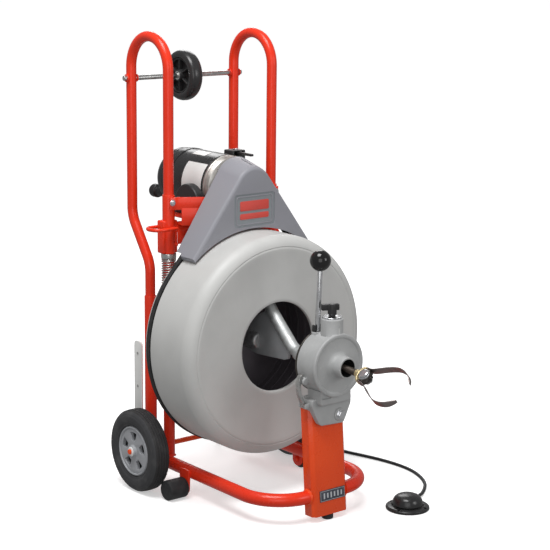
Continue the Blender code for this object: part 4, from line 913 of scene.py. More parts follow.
# ---------------------------------------------------------------- drum
def make_drum():
    radius, wall, front, split = DRUM_RADIUS, 0.0045, DRUM_FRONT_Y, 0.3507
    bend = 0.032
    centre = (radius - bend, front + bend)
    ridge = [(0.244, front + 0.0016), (0.2418, front + 0.0002), (0.238, front - 0.0001)]
    profile = [(GROOVE_RADIUS, split), (GROOVE_RADIUS, 0.3446), (0.2692, 0.3436), (radius, 0.3415)]
    profile += arc(centre, bend, 0, -78, 20) + ridge
    profile += [(0.23, front + 0.0006), (0.2, front + 0.0018), (0.17, front + 0.0024),
        (0.14, front + 0.0018), (MOUTH_RADIUS + 0.009, front + 0.0008),
        (MOUTH_RADIUS + 0.004, front + 0.0004), (MOUTH_RADIUS + 0.001, front + 0.0018),
        (MOUTH_RADIUS, front + 0.0045), (MOUTH_RADIUS, front + 0.009),
        (MOUTH_RADIUS + 0.0035, front + 0.009), (MOUTH_RADIUS + 0.006, front + 0.006),
        (0.18, front + 0.0066)]
    profile += arc(centre, bend - wall, -90, 0, 12)
    profile += [(radius - wall, 0.337), (GROOVE_RADIUS - wall, 0.342), (GROOVE_RADIUS - wall, split)]
    shell = turned("drum_front", profile, "Y", (0, 0, DRUM_Z), 224)
    show(shell, DRUM, "drum", "drum", "drum_front_shell", angle=40.0)

    rear, flange, split = 0.385, 0.2665, 0.3513
    profile = [(0.042, rear), (0.1, rear), (0.108, rear - 0.003), (0.2, rear - 0.003), (0.208, rear),
        (0.235, rear), (0.255, rear - 0.004), (0.2635, rear - 0.012), (flange, rear - 0.018),
        (flange, 0.3585), (GROOVE_RADIUS, 0.3576), (GROOVE_RADIUS, split),
        (GROOVE_RADIUS - wall, split), (GROOVE_RADIUS - wall, rear - 0.016), (0.232, rear - 0.0075),
        (0.042, rear - 0.0075), (0.036, 0.372), (0.0132, 0.372), (0.0132, 0.3935), (0.036, 0.3935)]
    shell = turned("drum_rear", eased(profile, 0.003, steps=4), "Y", (0, 0, DRUM_Z), 224)
    bolt_circle(shell, (0, 0.3946, DRUM_Z), 0.026, range(30, 360, 60), (0, 1, 0), 0.008, 0.004)
    show(shell, DRUM, "drum", "drum", "drum_rear_shell", angle=40.0)

    radius = INNER_DRUM_RADIUS
    inside = []
    for i in range(5):
        y = 0.233 + 0.028 * i
        inside += [(radius, y - 0.003), (radius - 0.0016, y - 0.0012), (radius - 0.0016, y + 0.0012),
            (radius, y + 0.003)]
    profile = [(radius + 0.0035, 0.3665), (radius + 0.0035, 0.218), (0.18, 0.2145), (0.18, 0.2115),
        (0.167, 0.213), (radius, 0.216)] + inside
    profile += [(radius, 0.363), (0.0132, 0.363), (0.0132, 0.3714), (0.034, 0.3714), (0.036, 0.3665)]
    liner = turned("drum_liner", eased(profile, 0.0014, steps=3), "Y", (0, 0, DRUM_Z), 160)
    liner = cut(liner, box("slot", (-0.024, 0.235, DRUM_Z + 0.14), (0.024, 0.35, DRUM_Z + 0.19), 0.006))
    show(liner, INNER_BLACK, "drum", "black", "inner_drum", angle=40.0)


def make_stored_cable():
    """The coils that lie in the drum, a turn beside and over another."""
    coil, first_y, pitch = None, 0.2265, 0.0162
    for layer in range(2):
        for i in range(7 - layer):
            middle = (0.2495 - layer * 0.0145, first_y + pitch * (i + 0.5 + layer / 2))
            ring = turned("turn", arc(middle, 0.0078, 0, 360, 14)[:-1], "Y", (0, 0, DRUM_Z), 96)
            coil = join(coil, ring) if coil else ring
    coil.name = "cable_coils"
    show(coil, CABLE, "drum", "dark_steel", "stored_cable")


def make_guide_arm():
    corners = [(0, 0.042, DRUM_Z), (0, 0.126, DRUM_Z), (0, 0.218, DRUM_Z + 0.084),
        (0, 0.318, DRUM_Z + 0.206)]
    arm = pipe("arm_casting", rounded_path(corners, [0.06, 0.15], 20), 0.015, 36)
    arm = fuse(arm, spun("boss", [(0.0, 0.3624), (0.024, 0.3624), (0.0215, 0.268), (0.018, 0.262),
        (0.0, 0.262)], 0.004, "Y", (0, 0, DRUM_Z), 64, False))
    outline = [(0.146, 0.01), (0.15, -0.022), (0.164, -0.027), (0.268, -0.034), (0.338, -0.022),
        (0.338, 0.022), (0.276, 0.062), (0.232, 0.084)]
    web = plate("web", [eased(outline, 0.004)], 0.008, "YZ", (0, 0, DRUM_Z), 0.0012, 3)
    collar = [(0.0, 0.084), (0.0168, 0.084), (0.018, 0.0855), (0.018, 0.1165), (0.0168, 0.118),
        (0.0, 0.118)]
    arm = fuse(arm, turned("collar", collar, "Y", (0, 0, DRUM_Z), 48, False))
    arm = cut(arm, rod("bore", (0, 0.03, DRUM_Z), (0, 0.108, DRUM_Z), 0.0105))
    arm = coated(bevelled(arm, 0.0008, 2, 40.0), ARM)
    coated(web, WEB)
    edge = [(0, 0.153, DRUM_Z + 0.018), (0, 0.236, DRUM_Z + 0.0885)]
    edge = coated(rod("web_edge", Vector(edge[0]) + Vector((-0.0035, 0, 0)),
        Vector(edge[1]) + Vector((-0.0035, 0, 0)), 0.0022), ARM)
    arm = join(arm, web, edge)
    arm.name = "arm_casting"
    show(arm, None, "drum", "cast", "guide_arm", angle=38.0)


def make_drum_shaft():
    shaft = rod("shaft_bar", (0, 0.3635, DRUM_Z), (0, 0.455, DRUM_Z), 0.0125, 0.0014)
    join(shaft, hex_head("nut", (0, 0.4384, DRUM_Z), (0, 1, 0), 0.0372, 0.0116))
    show(shaft, STEEL, "drum", "steel", "drum_shaft")


# ---------------------------------------------------------------- belt and pulley
def belt_outline(offset, drum_steps, pulley_steps):
    at_drum, at_pulley = 0.2649 + offset, 0.027 + offset
    wrap = math.degrees(math.acos((0.2649 - 0.027) / (MOTOR_Z - DRUM_Z)))
    points = arc((0.0, DRUM_Z), at_drum, 90 + wrap, 450 - wrap, drum_steps)
    return points + arc((0.0, MOTOR_Z), at_pulley, 90 - wrap, 90 + wrap, pulley_steps)


def make_belt():
    """Ribbed belt: a section of three ribs swept round its path."""
    middle, half, thick = 0.3511, 0.006, 0.0088
    section = [(0.001, -half), (0.0, -half + 0.0012), (0.0014, -0.0021), (0.0014, -0.0019),
        (0.0, -0.001), (0.0, 0.001), (0.0014, 0.0019), (0.0014, 0.0021), (0.0, half - 0.0012),
        (0.001, half), (thick - 0.001, half), (thick, half - 0.001), (thick, 0.001 - half),
        (thick - 0.001, -half)]
    bm, rings = bmesh.new(), None
    for offset, y in section:
        line = belt_outline(offset, 128, 28)
        if rings is None:
            rings = [[] for _ in line]
        for ring, (x, z) in zip(rings, line):
            ring.append(bm.verts.new((x, middle + y, z)))
    skin(bm, rings + rings[:1])
    belt = coated(solid("ribbed_belt", bm), BELT)
    smooth(belt, 32)
    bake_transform(belt)
    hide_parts("drive_belt")


def make_pulley():
    groove, flange = 0.0264, 0.0365
    profile = [(0.0, 0.6), (0.008, 0.6), (0.008, 0.3615), (0.034, 0.3615), (flange, 0.36),
        (flange, 0.3585), (groove, 0.3576), (groove, 0.3446), (flange, 0.3437), (flange, 0.3422),
        (0.034, 0.3407), (0.026, 0.3407), (0.024, 0.343), (0.014, 0.343), (0.013, 0.338),
        (0.008, 0.338), (0.008, 0.334), (0.0, 0.334)]
    pulley = spun("pulley_turned", profile, 0.0006, "Y", (0, 0, MOTOR_Z), 80, False)
    show(pulley, DARK_STEEL, "rotor", "dark_steel", "motor_pulley")


# ---------------------------------------------------------------- carriage
def make_handles():
    for side in (-1, 1):
        x = side * HANDLE_X
        corners = [(x, LEG_FRONT_Y, 0.678), (x, LEG_FRONT_Y, HANDLE_TOP_Z),
            (x, LEG_REAR_Y, HANDLE_TOP_Z), (x, LEG_REAR_Y, 0.664), (x, SLEEVE_Y, 0.552),
            (x, SLEEVE_Y, 0.43)]
        bend = (LEG_REAR_Y - LEG_FRONT_Y) / 2 - 0.0001
        path = rounded_path(corners, [bend, bend, 0.075, 0.075], 32)
        handle = pipe(f"handle_tube_{tag(side)}", path, TUBE_RADIUS, 40)
        show(handle, RED, "carriage", "red", f"handle_{tag(side)}")


def make_sleeve_blocks():
    half, low, high = 0.019, 0.592, 0.673
    for side in (-1, 1):
        x = side * HANDLE_X
        block = box("block", (x - 0.0215, LEG_FRONT_Y - 0.0085, low),
            (x + 0.0215, LEG_FRONT_Y + half, high), 0.0035, 5)
        block = fuse(block, rod("tube", (x, LEG_FRONT_Y, low), (x, LEG_FRONT_Y, 0.735), 0.0152))
        for bore_low, bore_high, radius in ((0.57, 0.662, 0.0144), (0.67, 0.76, 0.0132)):
            block = cut(block, rod("bore", (x, LEG_FRONT_Y, bore_low), (x, LEG_FRONT_Y, bore_high),
                radius))
        join(block, hex_head("set_bolt", (x + 0.0165, LEG_FRONT_Y - 0.0093, 0.612), (0, -1, 0), 0.007,
            0.003))
        coated(block, RED)
        collar = [(0.0148, 0.5795), (0.0188, 0.5795), (0.0188, 0.5915), (0.0148, 0.5915)]
        collar = spun("collar", collar, 0.0008, "Z", (x, LEG_FRONT_Y, 0), 56)
        join(block, coated(collar, STEEL))
        if side < 0:
            front, back = LEG_FRONT_Y - half - 0.0035, LEG_FRONT_Y + half + 0.0035
            points = [(-0.15, front), (-0.17, front - 0.001)]
            points += arc((-0.1905, LEG_FRONT_Y - 0.001), 0.025, -100, -260, 24)
            points += [(-0.17, back + 0.001), (-0.15, back)]
            hoop = pipe("hoop", [(u, v, 0.655) for u, v in points], 0.0045, 20)
            join(block, coated(hoop, RED))
        block.name = f"sleeve_block_paint_{tag(side)}"
        show(block, None, "carriage", "red", f"sleeve_block_{tag(side)}")


def make_springs():
    wire, radius, turns, per_turn = 0.0015, 0.017, 25, 20
    low, high = 0.4335 + wire, 0.5795 - wire
    for side in (-1, 1):
        x, coil = side * HANDLE_X, []
        for i in range(turns * per_turn + 1):
            angle = 2 * math.pi * i / per_turn
            turn = i / per_turn
            free = min(max(turn - 1.0, 0.0), turns - 2.0) / (turns - 2.0)
            ends = min(turn, 1.0) * 2 * wire + max(turn - (turns - 1.0), 0.0) * 2 * wire
            z = low + ends + (high - low - 4 * wire) * free
            coil.append((x + radius * math.cos(angle), LEG_FRONT_Y + radius * math.sin(angle), z))
        spring = coated(pipe(f"coil_spring_{tag(side)}", coil, wire, 10), STEEL)
        smooth(spring, 50)
        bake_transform(spring)
        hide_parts(f"spring_{tag(side)}")


def ribbon(points, half):
    """Closed outline of a strip of even width along a line."""
    left, right = [], []
    for i, point in enumerate(points):
        before, after = points[max(i - 1, 0)], points[min(i + 1, len(points) - 1)]
        way = (Vector(after) - Vector(before)).normalized()
        left.append((point[0] - way.y * half, point[1] + way.x * half))
        right.append((point[0] + way.y * half, point[1] - way.x * half))
    return left + right[::-1]


def make_motor_bracket():
    run, lap, reach = 0.3672, 0.4068, HANDLE_X - 0.0193
    route = eased([(-0.168, lap), (-0.15, lap), (-0.088, run), (0.088, run), (0.15, lap), (0.168, lap)],
        0.012, False, 6)
    strap = coated(plate("strap", [ribbon(route, 0.0019)], 0.031, "XY", (0, 0, 0.7155), 0.0008, 2), RED)
    route = eased([(-0.138, 0.3992), (-0.088, run), (0.088, run), (0.138, 0.3992)], 0.012, False, 6)
    join(strap, plate("lip", [ribbon(route, 0.002)], 0.044, "XY", (0, 0, 0.683), 0.0008, 2))
    outline = [(-0.137, 0.401), (-0.088, 0.369), (0.088, 0.369), (0.137, 0.401), (0.138, 0.436),
        (0.078, 0.44), (0.078, 0.568), (-0.078, 0.568), (-0.078, 0.44), (-0.138, 0.436)]
    join(strap, plate("shelf", [eased(outline, 0.006)], 0.004, "XY", (0, 0, 0.663), 0.0008, 2))
    join(strap, rod("cross_tube", (-reach, LEG_FRONT_Y, 0.6515), (reach, LEG_FRONT_Y, 0.6515), 0.0108))
    join(strap, box("cross_plate", (-reach + 0.001, 0.413, 0.613), (reach - 0.001, 0.417, 0.652),
        0.001))
    join(strap, box("hose_arm", (0.07, 0.56, 0.65), (0.128, 0.568, 0.664), 0.001))
    socket = [(0.005, -0.006), (0.008, -0.006), (0.008, 0.033), (0.0, 0.033), (0.0, 0.007),
        (0.005, 0.007)]
    join(strap, spun("hose_socket", socket, 0.0008, "Z", HOSE_END, 32, False))
    for side in (-1, 1):
        at = Vector((side * 0.16, lap - 0.0031, 0.718))
        head = coated(rod("screw", at, at + Vector((0, -0.0034, 0)), 0.0062, 0.0022), CHROME)
        washer = coated(rod("washer", at + Vector((0, 0.0012, 0)), at, 0.008, 0.0004), CHROME)
        join(strap, head, washer)
    strap.name = "bracket_weldment"
    show(strap, None, "carriage", "red", "motor_bracket")


# ---------------------------------------------------------------- motor
def make_motor():
    at, radius = (0, 0, MOTOR_Z), MOTOR_RADIUS
    body = [(0.0, 0.6235), (0.03, 0.6235), (0.052, 0.619), (radius - 0.011, 0.607),
        (radius - 0.0015, 0.59), (radius - 0.0005, 0.5725), (radius - 0.002, 0.5715),
        (radius - 0.002, 0.57), (radius, 0.569), (radius, 0.404), (radius - 0.001, 0.4018),
        (0.011, 0.4018), (0.011, 0.604), (0.0, 0.604)]
    motor = coated(spun("body", body, 0.003, "Y", at, 128, False), BLACK_PAINT_AND_BORE_SHADE)
    for i in range(8):
        angle = math.radians(22.5 + 45 * i)
        place = Vector((0.045 * math.cos(angle), 0.62, MOTOR_Z + 0.045 * math.sin(angle)))
        vent = box("vent", (-0.0022, -0.002, -0.0085), (0.0022, 0.0022, 0.0085), 0.001)
        swung(vent, place, math.pi / 2 - angle, "Y")
        join(motor, coated(vent, BLACK_PLASTIC))
    cradle = coated(box("cradle", (-0.05, 0.412, 0.6653), (0.05, 0.56, 0.69), 0.003), BLACK_PAINT_AND_BORE_SHADE)
    band = [(radius + 0.0002, 0.539), (radius + 0.0016, 0.539), (radius + 0.0016, 0.551),
        (radius + 0.0002, 0.551)]
    band = spun("band", band, 0.0006, "Y", at, 96)
    join(motor, coated(band, BLACK_PAINT_AND_BORE_SHADE))
    outline = arc((0.437, 0.706), 0.0485, 0, 180, 32) + [(0.3885, 0.695), (0.4855, 0.695)]
    cover = plate("capacitor_cover", [outline], 0.0475, "YZ", (-0.074, 0, 0), 0.005, 5)
    cover = coated(cut(cover, turned("bore", [(0, 0.37), (radius - 0.004, 0.37), (radius - 0.004, 0.6),
        (0, 0.6)], "Y", at, 96, False)), BLACK_PLASTIC)
    knob = [(0.0, 0.0535), (0.01, 0.0535), (0.015, 0.0515), (0.0172, 0.047), (0.0172, 0.03),
        (0.015, 0.0285), (0.012, 0.027), (0.012, 0.0), (0.0, 0.0)]
    knob = coated(spun("air_switch", knob, 0.0012, "Y", (-0.04, 0.608, 0.707), 64, False),
        BLACK_PLASTIC)
    base = box("switch_base", (0.02, 0.4022, 0.786), (0.06, 0.44, 0.8315), 0.003)
    base = coated(cut(base, box("slot", (0.0245, 0.395, 0.819), (0.0555, 0.434, 0.8295), 0.0)),
        BLACK_PLASTIC)
    stub = coated(rod("stub", (0.04, 0.418, 0.8312), (0.04, 0.418, 0.8345), 0.0065, 0.0006), CHROME)
    join(motor, cradle, cover, knob, base, stub)
    join(motor, motor_label("side_label", 190, 134, 0.406, 0.486))
    join(motor, motor_label("top_label", 114, 96, 0.45, 0.502))
    motor.name = "motor_shell"
    show(motor, None, "carriage", "black", "motor_body")

    front = [(radius - 0.001, 0.4015), (radius - 0.001, 0.396), (radius - 0.0025, 0.3945),
        (radius - 0.0025, 0.3925), (radius - 0.001, 0.391), (radius - 0.006, 0.3815),
        (radius - 0.018, 0.3745), (0.03, 0.3725), (0.011, 0.3725), (0.011, 0.4015)]
    bell = coated(spun("motor_bell", front, 0.002, "Y", at, 128), BELL_ALLOY)
    bolt_circle(bell, (0, 0.3752, MOTOR_Z), radius - 0.015, range(45, 360, 90), (0, -1, 0), 0.0065,
        0.0026, STEEL)
    show(bell, None, "carriage", "steel", "motor_front_bell")


def motor_label(name, start, end, low, high):
    """Curved paper label on the motor's side, between two angles and two places along it."""
    bm, columns = bmesh.new(), []
    for angle in np.radians(np.linspace(start, end, 25)):
        column = []
        for rise, y in ((0.0001, low), (0.0005, low), (0.0005, high), (0.0001, high)):
            r = MOTOR_RADIUS + rise
            column.append(bm.verts.new((r * math.cos(angle), y, MOTOR_Z + r * math.sin(angle))))
        columns.append(column)
    skin(bm, columns)
    bm.faces.new(columns[0])
    bm.faces.new(columns[-1])
    return coated(solid(name, bm), LABEL)


def make_switch_lever():
    outline = [(0.428, 0.8205), (0.428, 0.8275), (0.392, 0.828), (0.3495, 0.8275), (0.3495, 0.8215),
        (0.392, 0.821)]
    lever = plate("reverse_lever", [eased(outline, 0.0025)], 0.0085, "YZ", (0.04, 0, 0), 0.0012)
    show(lever, BLACK_PLASTIC, "switch_arm", "black_plastic", "switch_lever")


# ---------------------------------------------------------------- guard
def guard_outline(inset, arc_radius, foot, steps):
    side_x = GUARD_FOOT[0] - inset / math.cos(math.radians(GUARD_SLOPE))
    points = arc((0.0, GUARD_TOP_Z), GUARD_TOP_RADIUS - inset, GUARD_SLOPE, 180 - GUARD_SLOPE, steps)
    points += [(-side_x, GUARD_FOOT[1]), (-foot[0], foot[1])]
    reach = math.degrees(math.asin((foot[0] - 0.004) / arc_radius))
    points += arc((0.0, DRUM_Z), arc_radius, 90 + reach, 90 - reach, steps)
    return points + [foot, (side_x, GUARD_FOOT[1])]


def round_front(obj, front_y, width, segments):
    """Bevel the edge between the front face and the sides, but not along the hollow arc."""
    marked = obj.vertex_groups.new(name="front_edge")
    for vertex in obj.data.vertices:
        above_arc = math.hypot(vertex.co.x, vertex.co.z - DRUM_Z) > GUARD_ARC_RADIUS + 0.005
        if abs(vertex.co.y - front_y) < 0.0005 and above_arc:
            marked.add([vertex.index], 1.0, "REPLACE")
    bevel = obj.modifiers.new("Edges", "BEVEL")
    bevel.width = width
    bevel.segments = segments
    bevel.limit_method = "VGROUP"
    bevel.vertex_group = marked.name
    return evaluated(obj)


def draw_in(obj):
    """Slope the guard's top and sides inwards from its rear edge to its front face."""
    for vertex in obj.data.vertices:
        place = vertex.co
        forward = (GUARD_REAR_Y - place.y) / (GUARD_REAR_Y - GUARD_FRONT_Y)
        upward = (math.hypot(place.x, place.z - DRUM_Z) - 0.285) / 0.158
        share = forward * min(max(upward, 0.0), 1.0)
        place.x *= 1.0 - GUARD_DRAW_IN * share
        place.z -= GUARD_DRAW_DOWN * share
    return obj


def make_guard():
    deep, middle = GUARD_REAR_Y - GUARD_FRONT_Y, (GUARD_REAR_Y + GUARD_FRONT_Y) / 2
    outline = guard_outline(0.0, GUARD_ARC_RADIUS, (0.1775, 0.5915), 40)
    shell = plate("guard_shell", [outline], deep, "XZ", (0, middle, 0))
    shell = draw_in(round_front(shell, GUARD_FRONT_Y, 0.0095, 6))
    outline = guard_outline(0.003, GUARD_ARC_RADIUS - 0.012, (0.1735, 0.57), 24)
    hollow = plate("hollow", [outline], deep, "XZ", (0, middle + 0.003, 0))
    shell = cut(shell, draw_in(evaluated(hollow)))
    for side in (-1, 1):
        shell = cut(shell, box("notch", (side * 0.18 - 0.014, 0.343, 0.58),
            (side * 0.18 + 0.014, 0.37, 0.606), 0.0))
    recess = rectangle(0.062, 0.6615, 0.7425, 0.01)
    shell = cut(shell, plate("recess", [recess], 0.0028, "XZ", (0, GUARD_FRONT_Y, 0)))
    slot = eased([(0.001, 0.302), (0.005, 0.302), (0.005, 0.346), (0.001, 0.346)], 0.0018)
    shell = cut(shell, plate("slot", [slot], 0.06, "XY", (0, 0, 0.815)))
    coated(shell, GUARD, PANEL)
    for face in shell.data.polygons:
        if abs(face.center.y - GUARD_FRONT_Y - 0.0014) < 0.0002 and abs(face.normal.y) > 0.9:
            face.material_index = 1
    edges = [rectangle(0.056, 0.6665, 0.7375, 0.008), rectangle(0.053, 0.6695, 0.7345, 0.006)]
    rim = plate("rim", edges, 0.0012, "XZ", (0, GUARD_FRONT_Y + 0.001, 0), 0.0004, 2)
    join(shell, coated(rim, GUARD))
    for low, high in ((0.701, 0.725), (0.6805, 0.6945)):
        bar = rectangle(0.044, low, high, 0.004)
        bar = plate("bar", [bar], 0.001, "XZ", (0, GUARD_FRONT_Y + 0.0011, 0), 0.0003, 2)
        join(shell, coated(bar, BADGE))
    shell.name = "guard_moulding"
    show(shell, None, "carriage", "guard", "belt_guard", angle=40.0)


# ---------------------------------------------------------------- feed housing
def make_feed_base():
    outline = [(-0.06, 0.3), (-0.0605, 0.286), (-0.0505, 0.264), (-0.0375, 0.24), (-0.03, 0.234),
        (0.038, 0.231), (0.046, 0.246), (0.058, 0.272), (0.06, 0.278), (0.06, 0.3)]
    casting = plate("casting", [eased(outline, 0.005)], 0.05, "XZ", (0, 0.0165, 0), 0.0022, 4)
    neck = box("neck", (-0.046, -0.026, 0.287), (0.046, 0.0285, 0.35), 0.006, 4)
    casting = fuse(casting, neck)
    boss = spun("boss", [(0, 0.0), (0.0175, 0.0), (0.0155, -0.011), (0.014, -0.0125), (0.0, -0.0125)],
        0.0016, "Y", (0.024, 0, 0.254), 56, False)
    casting = fuse(casting, boss)
    clear = box("clear", (-COLUMN_HALF_WIDTH - 0.0006, -0.0006, -0.05),
        (COLUMN_HALF_WIDTH + 0.0006, 0.12, COLUMN_HEIGHT + 0.0006), 0.0)
    casting = cut(casting, lean(clear))
    bowl = [(0, -0.1), (FEED_RADIUS + 0.0008, -0.1), (FEED_RADIUS + 0.0008, 0.1), (0, 0.1)]
    casting = cut(casting, turned("bowl", bowl, "Y", (0, 0, DRUM_Z), 160, False))
    groove = box("groove", (-0.044, -0.03, 0.3035), (-0.018, -0.0235, 0.3065), 0.0)
    casting = coated(cut(casting, groove), CAST)
    for low, high in ((0.0005, 0.0035), (0.0215, 0.0245)):
        ear = box("ear", (-0.073, low, 0.28), (-0.058, high, 0.292), 0.001)
        join(casting, coated(ear, CAST))
    head = hex_head("clamp_bolt", (0.024, -0.0136, 0.254), (0, -1, 0), 0.017, 0.0066)
    join(casting, coated(head, CHROME))
    casting.name = "feed_bracket"
    show(casting, None, "base", "cast", "feed_base", angle=38.0)


def roller_places():
    return arc((0.0, DRUM_Z), 0.0232, 90, 330, 2)


def make_feed_housing():
    radius, front, rear = FEED_RADIUS, FEED_FRONT_Y, 0.0335
    profile = [(radius, rear), (radius, front + 0.0095), (radius + 0.002, front + 0.007),
        (radius + 0.002, front + 0.002), (radius - 0.0005, front), (radius - 0.0065, front),
        (radius - 0.0095, front + 0.0035), (0.04, front + 0.003), (0.033, front + 0.0018),
        (0.029, front - 0.0015), (NOSE_RADIUS + 0.0006, front - 0.0075), (NOSE_RADIUS, NOSE_Y + 0.001),
        (NOSE_RADIUS - 0.001, NOSE_Y), (BORE_RADIUS, NOSE_Y), (BORE_RADIUS, front + 0.01),
        (radius - 0.008, front + 0.012), (radius - 0.006, rear)]
    housing = turned("housing", eased(profile, 0.0016, steps=4), "Y", (0, 0, DRUM_Z), 160)
    tower = [(0.0, 0.0675), (0.0266, 0.0675), (0.026, 0.1065), (0.0247, 0.1085), (0.0, 0.1085)]
    tower = spun("tower", tower, 0.0014, "Z", (0, TOWER_Y, DRUM_Z), 96, False)
    housing = fuse(housing, tower)
    x, y, _ = LEVER_PIVOT
    pad = box("pad", (x - 0.014, y - 0.008, DRUM_Z + 0.062), (x + 0.014, 0.0333, 0.453), 0.002)
    housing = fuse(housing, pad)
    lug = rod("lug", (-0.07, 0.0015, 0.3457), (-0.07, 0.0235, 0.3457), 0.0092, 0.0035)
    housing = fuse(housing, lug)
    housing = bevelled(housing, 0.0009, 2, 50.0)
    coated(housing, CAST, BLACK_PAINT_AND_BORE_SHADE)
    # painted shade: the bore's inner faces take the black, for the shade down the bore
    for face in housing.data.polygons:
        if math.hypot(face.center.x, face.center.z - DRUM_Z) < BORE_RADIUS + 0.0002:
            face.material_index = 1
    for side in (-1, 1):
        middle = x + side * 0.0095
        cheek = box("cheek", (middle - 0.0025, y - 0.0055, 0.45), (middle + 0.0025, y + 0.0065, 0.469),
            0.0012)
        join(housing, coated(cheek, BLACK_PAINT_AND_BORE_SHADE))
    cap = [(0.0, 0.488), (0.0236, 0.488), (0.0236, 0.4916), (0.0228, 0.4925), (0.0135, 0.4925),
        (0.013, 0.4923), (0.0, 0.4923)]
    cap = spun("cap", cap, 0.0004, "Z", (0, TOWER_Y, 0), 96, False)
    join(housing, coated(cap, CHROME))
    for angle in range(200, 345, 24):
        tick = box("tick", (0.016, -0.0007, 0.4924), (0.0215, 0.0007, 0.4927), 0.0)
        swung(tick, (0, TOWER_Y, 0), math.radians(angle), "Z")
        join(housing, coated(tick, BLACK_PAINT_AND_BORE_SHADE))
    for px, pz in roller_places():
        pin = rod("pin", (px, front + 0.008, pz), (px, 0.03, pz), 0.005)
        join(housing, coated(pin, STEEL))
    housing.name = "feed_casting"
    show(housing, None, "base", "cast", "feed_housing", angle=38.0)

    cover = [(radius + 0.001, 0.0385), (radius + 0.001, 0.0339), (0.019, 0.0339), (0.019, 0.0385)]
    cover = spun("rear_plate", cover, 0.001, "Y", (0, 0, DRUM_Z), 144)
    bolt_circle(cover, (0, 0.0396, DRUM_Z), 0.06, range(45, 360, 90), (0, 1, 0), 0.008, 0.0034)
    show(cover, DARK_STEEL, "base", "dark_steel", "feed_rear_cover")
    for index, (px, pz) in enumerate(roller_places()):
        body = [(0.0056, -0.014), (0.012, -0.014), (0.014, -0.011), (0.0132, 0.0), (0.014, 0.011),
            (0.012, 0.014), (0.0056, 0.014)]
        roller = spun(f"roller_{index + 1}_turned", body, 0.0008, "Y", (px, 0.006, pz), 48)
        show(roller, STEEL, f"roller_{index + 1}", "steel", f"feed_roller_{index + 1}")


def make_selector():
    knob = [(0.0, 0.4929), (0.008, 0.4929), (0.008, 0.4965), (0.0105, 0.498), (0.0105, 0.518),
        (0.0098, 0.5215), (0.008, 0.5225), (0.0, 0.5225)]
    knob = spun("selector", knob, 0.0008, "Z", (0, TOWER_Y, 0), 64, False)
    bar = box("bar", (-0.026, -0.0065, 0.5075), (0.016, 0.0065, 0.522), 0.002, 4)
    for side in (-1, 1):
        groove = box("groove", (-0.0135, side * 0.0065 - 0.0012, 0.506),
            (-0.0115, side * 0.0065 + 0.0012, 0.524), 0.0)
        bar = cut(bar, groove)
    knob = fuse(knob, swung(bar, (0, TOWER_Y, 0), SELECTOR_TURN, "Z"))
    knob = bevelled(knob, 0.0004, 2, 50.0)
    show(knob, BLACK_PLASTIC, "selector", "black_plastic", "selector_knob")


def make_feed_lever():
    start, centre = Vector(LEVER_PIVOT), Vector(LEVER_BALL)
    way, length = (centre - start).normalized(), (centre - start).length
    lever = rod("feed_rod", start - way * 0.0065, start + way * (length - 0.0215), 0.0062, 0.0012)
    show(lever, CHROME, "feed_handle", "steel", "feed_lever")
    radius = 0.0247
    profile = arc((0, 0), radius, 88, -76, 48)
    profile = [(0.0, radius)] + profile + [(0.0068, -0.024), (0.0068, -0.0205), (0.0, -0.0205)]
    ball = turned("ball", profile, "Z", (0, 0, 0), 96, False)
    ball.name = "ball_knob"
    show(aimed(ball, centre, way), BLACK_GLOSS, "feed_handle", "ball", "lever_ball", angle=50.0)


def make_latch():
    route = [(-0.0665, 0.286), (-0.077, 0.303), (-0.0835, 0.322), (-0.085, 0.343), (-0.081, 0.356),
        (-0.0755, 0.3598)]
    hook = plate("hook", [ribbon(flat_strand(route), 0.0034)], 0.012, "XZ", (0, 0.0125, 0), 0.0014)
    join(hook, rod("barrel", (-0.0665, 0.0045, 0.286), (-0.0665, 0.0205, 0.286), 0.005))
    hook.name = "latch_hook_piece"
    show(hook, STEEL, "latch_hook", "steel", "latch")


# ---------------------------------------------------------------- cable and cutter
def make_cable():
    """Wound cable: a bar whose surface follows the turns of its wire."""
    end = cutter_frame() @ Vector((0, 0.0314, 0))
    points = [Vector((0, 0.105, DRUM_Z)), Vector((0, 0.04, DRUM_Z)), Vector((0, -0.02, DRUM_Z)),
        Vector((0, -0.062, DRUM_Z - 0.0015)), end]
    line, pitch, sides = strand(points, 120), 0.003, 24
    bm, rings, run = bmesh.new(), [], 0.0
    for i, point in enumerate(line):
        if i:
            run += (point - line[i - 1]).length
        way = (line[min(i + 1, len(line) - 1)] - line[max(i - 1, 0)]).normalized()
        across = Vector((1, 0, 0))
        up = way.cross(across).normalized()
        ring = []
        for j in range(sides):
            angle = 2 * math.pi * j / sides
            phase = (run / pitch + j / sides) % 1.0
            radius = CABLE_RADIUS - 0.0011 * (1 - math.sin(math.pi * phase))
            ring.append(bm.verts.new(point + (across * math.cos(angle) + up * math.sin(angle))
                * radius))
        rings.append(ring)
    skin(bm, rings)
    bm.faces.new(rings[0])
    bm.faces.new(rings[-1])
    cable = solid("wound_cable", bm)
    show(cable, CABLE, "drum", "dark_steel", "drain_cable", angle=70.0)


def cutter_frame():
    """Matrix from the cutter's own axes to the machine: forward is local -Y."""
    matrix = Matrix.Translation((0.0, CUTTER_Y, CUTTER_Z))
    matrix = matrix @ Matrix.Rotation(CUTTER_DROOP, 4, "X")
    return matrix @ Matrix.Rotation(-CUTTER_TWIST, 4, "Y")


def in_cutter(obj):
    applied(obj)
    obj.data.transform(cutter_frame())
    return obj


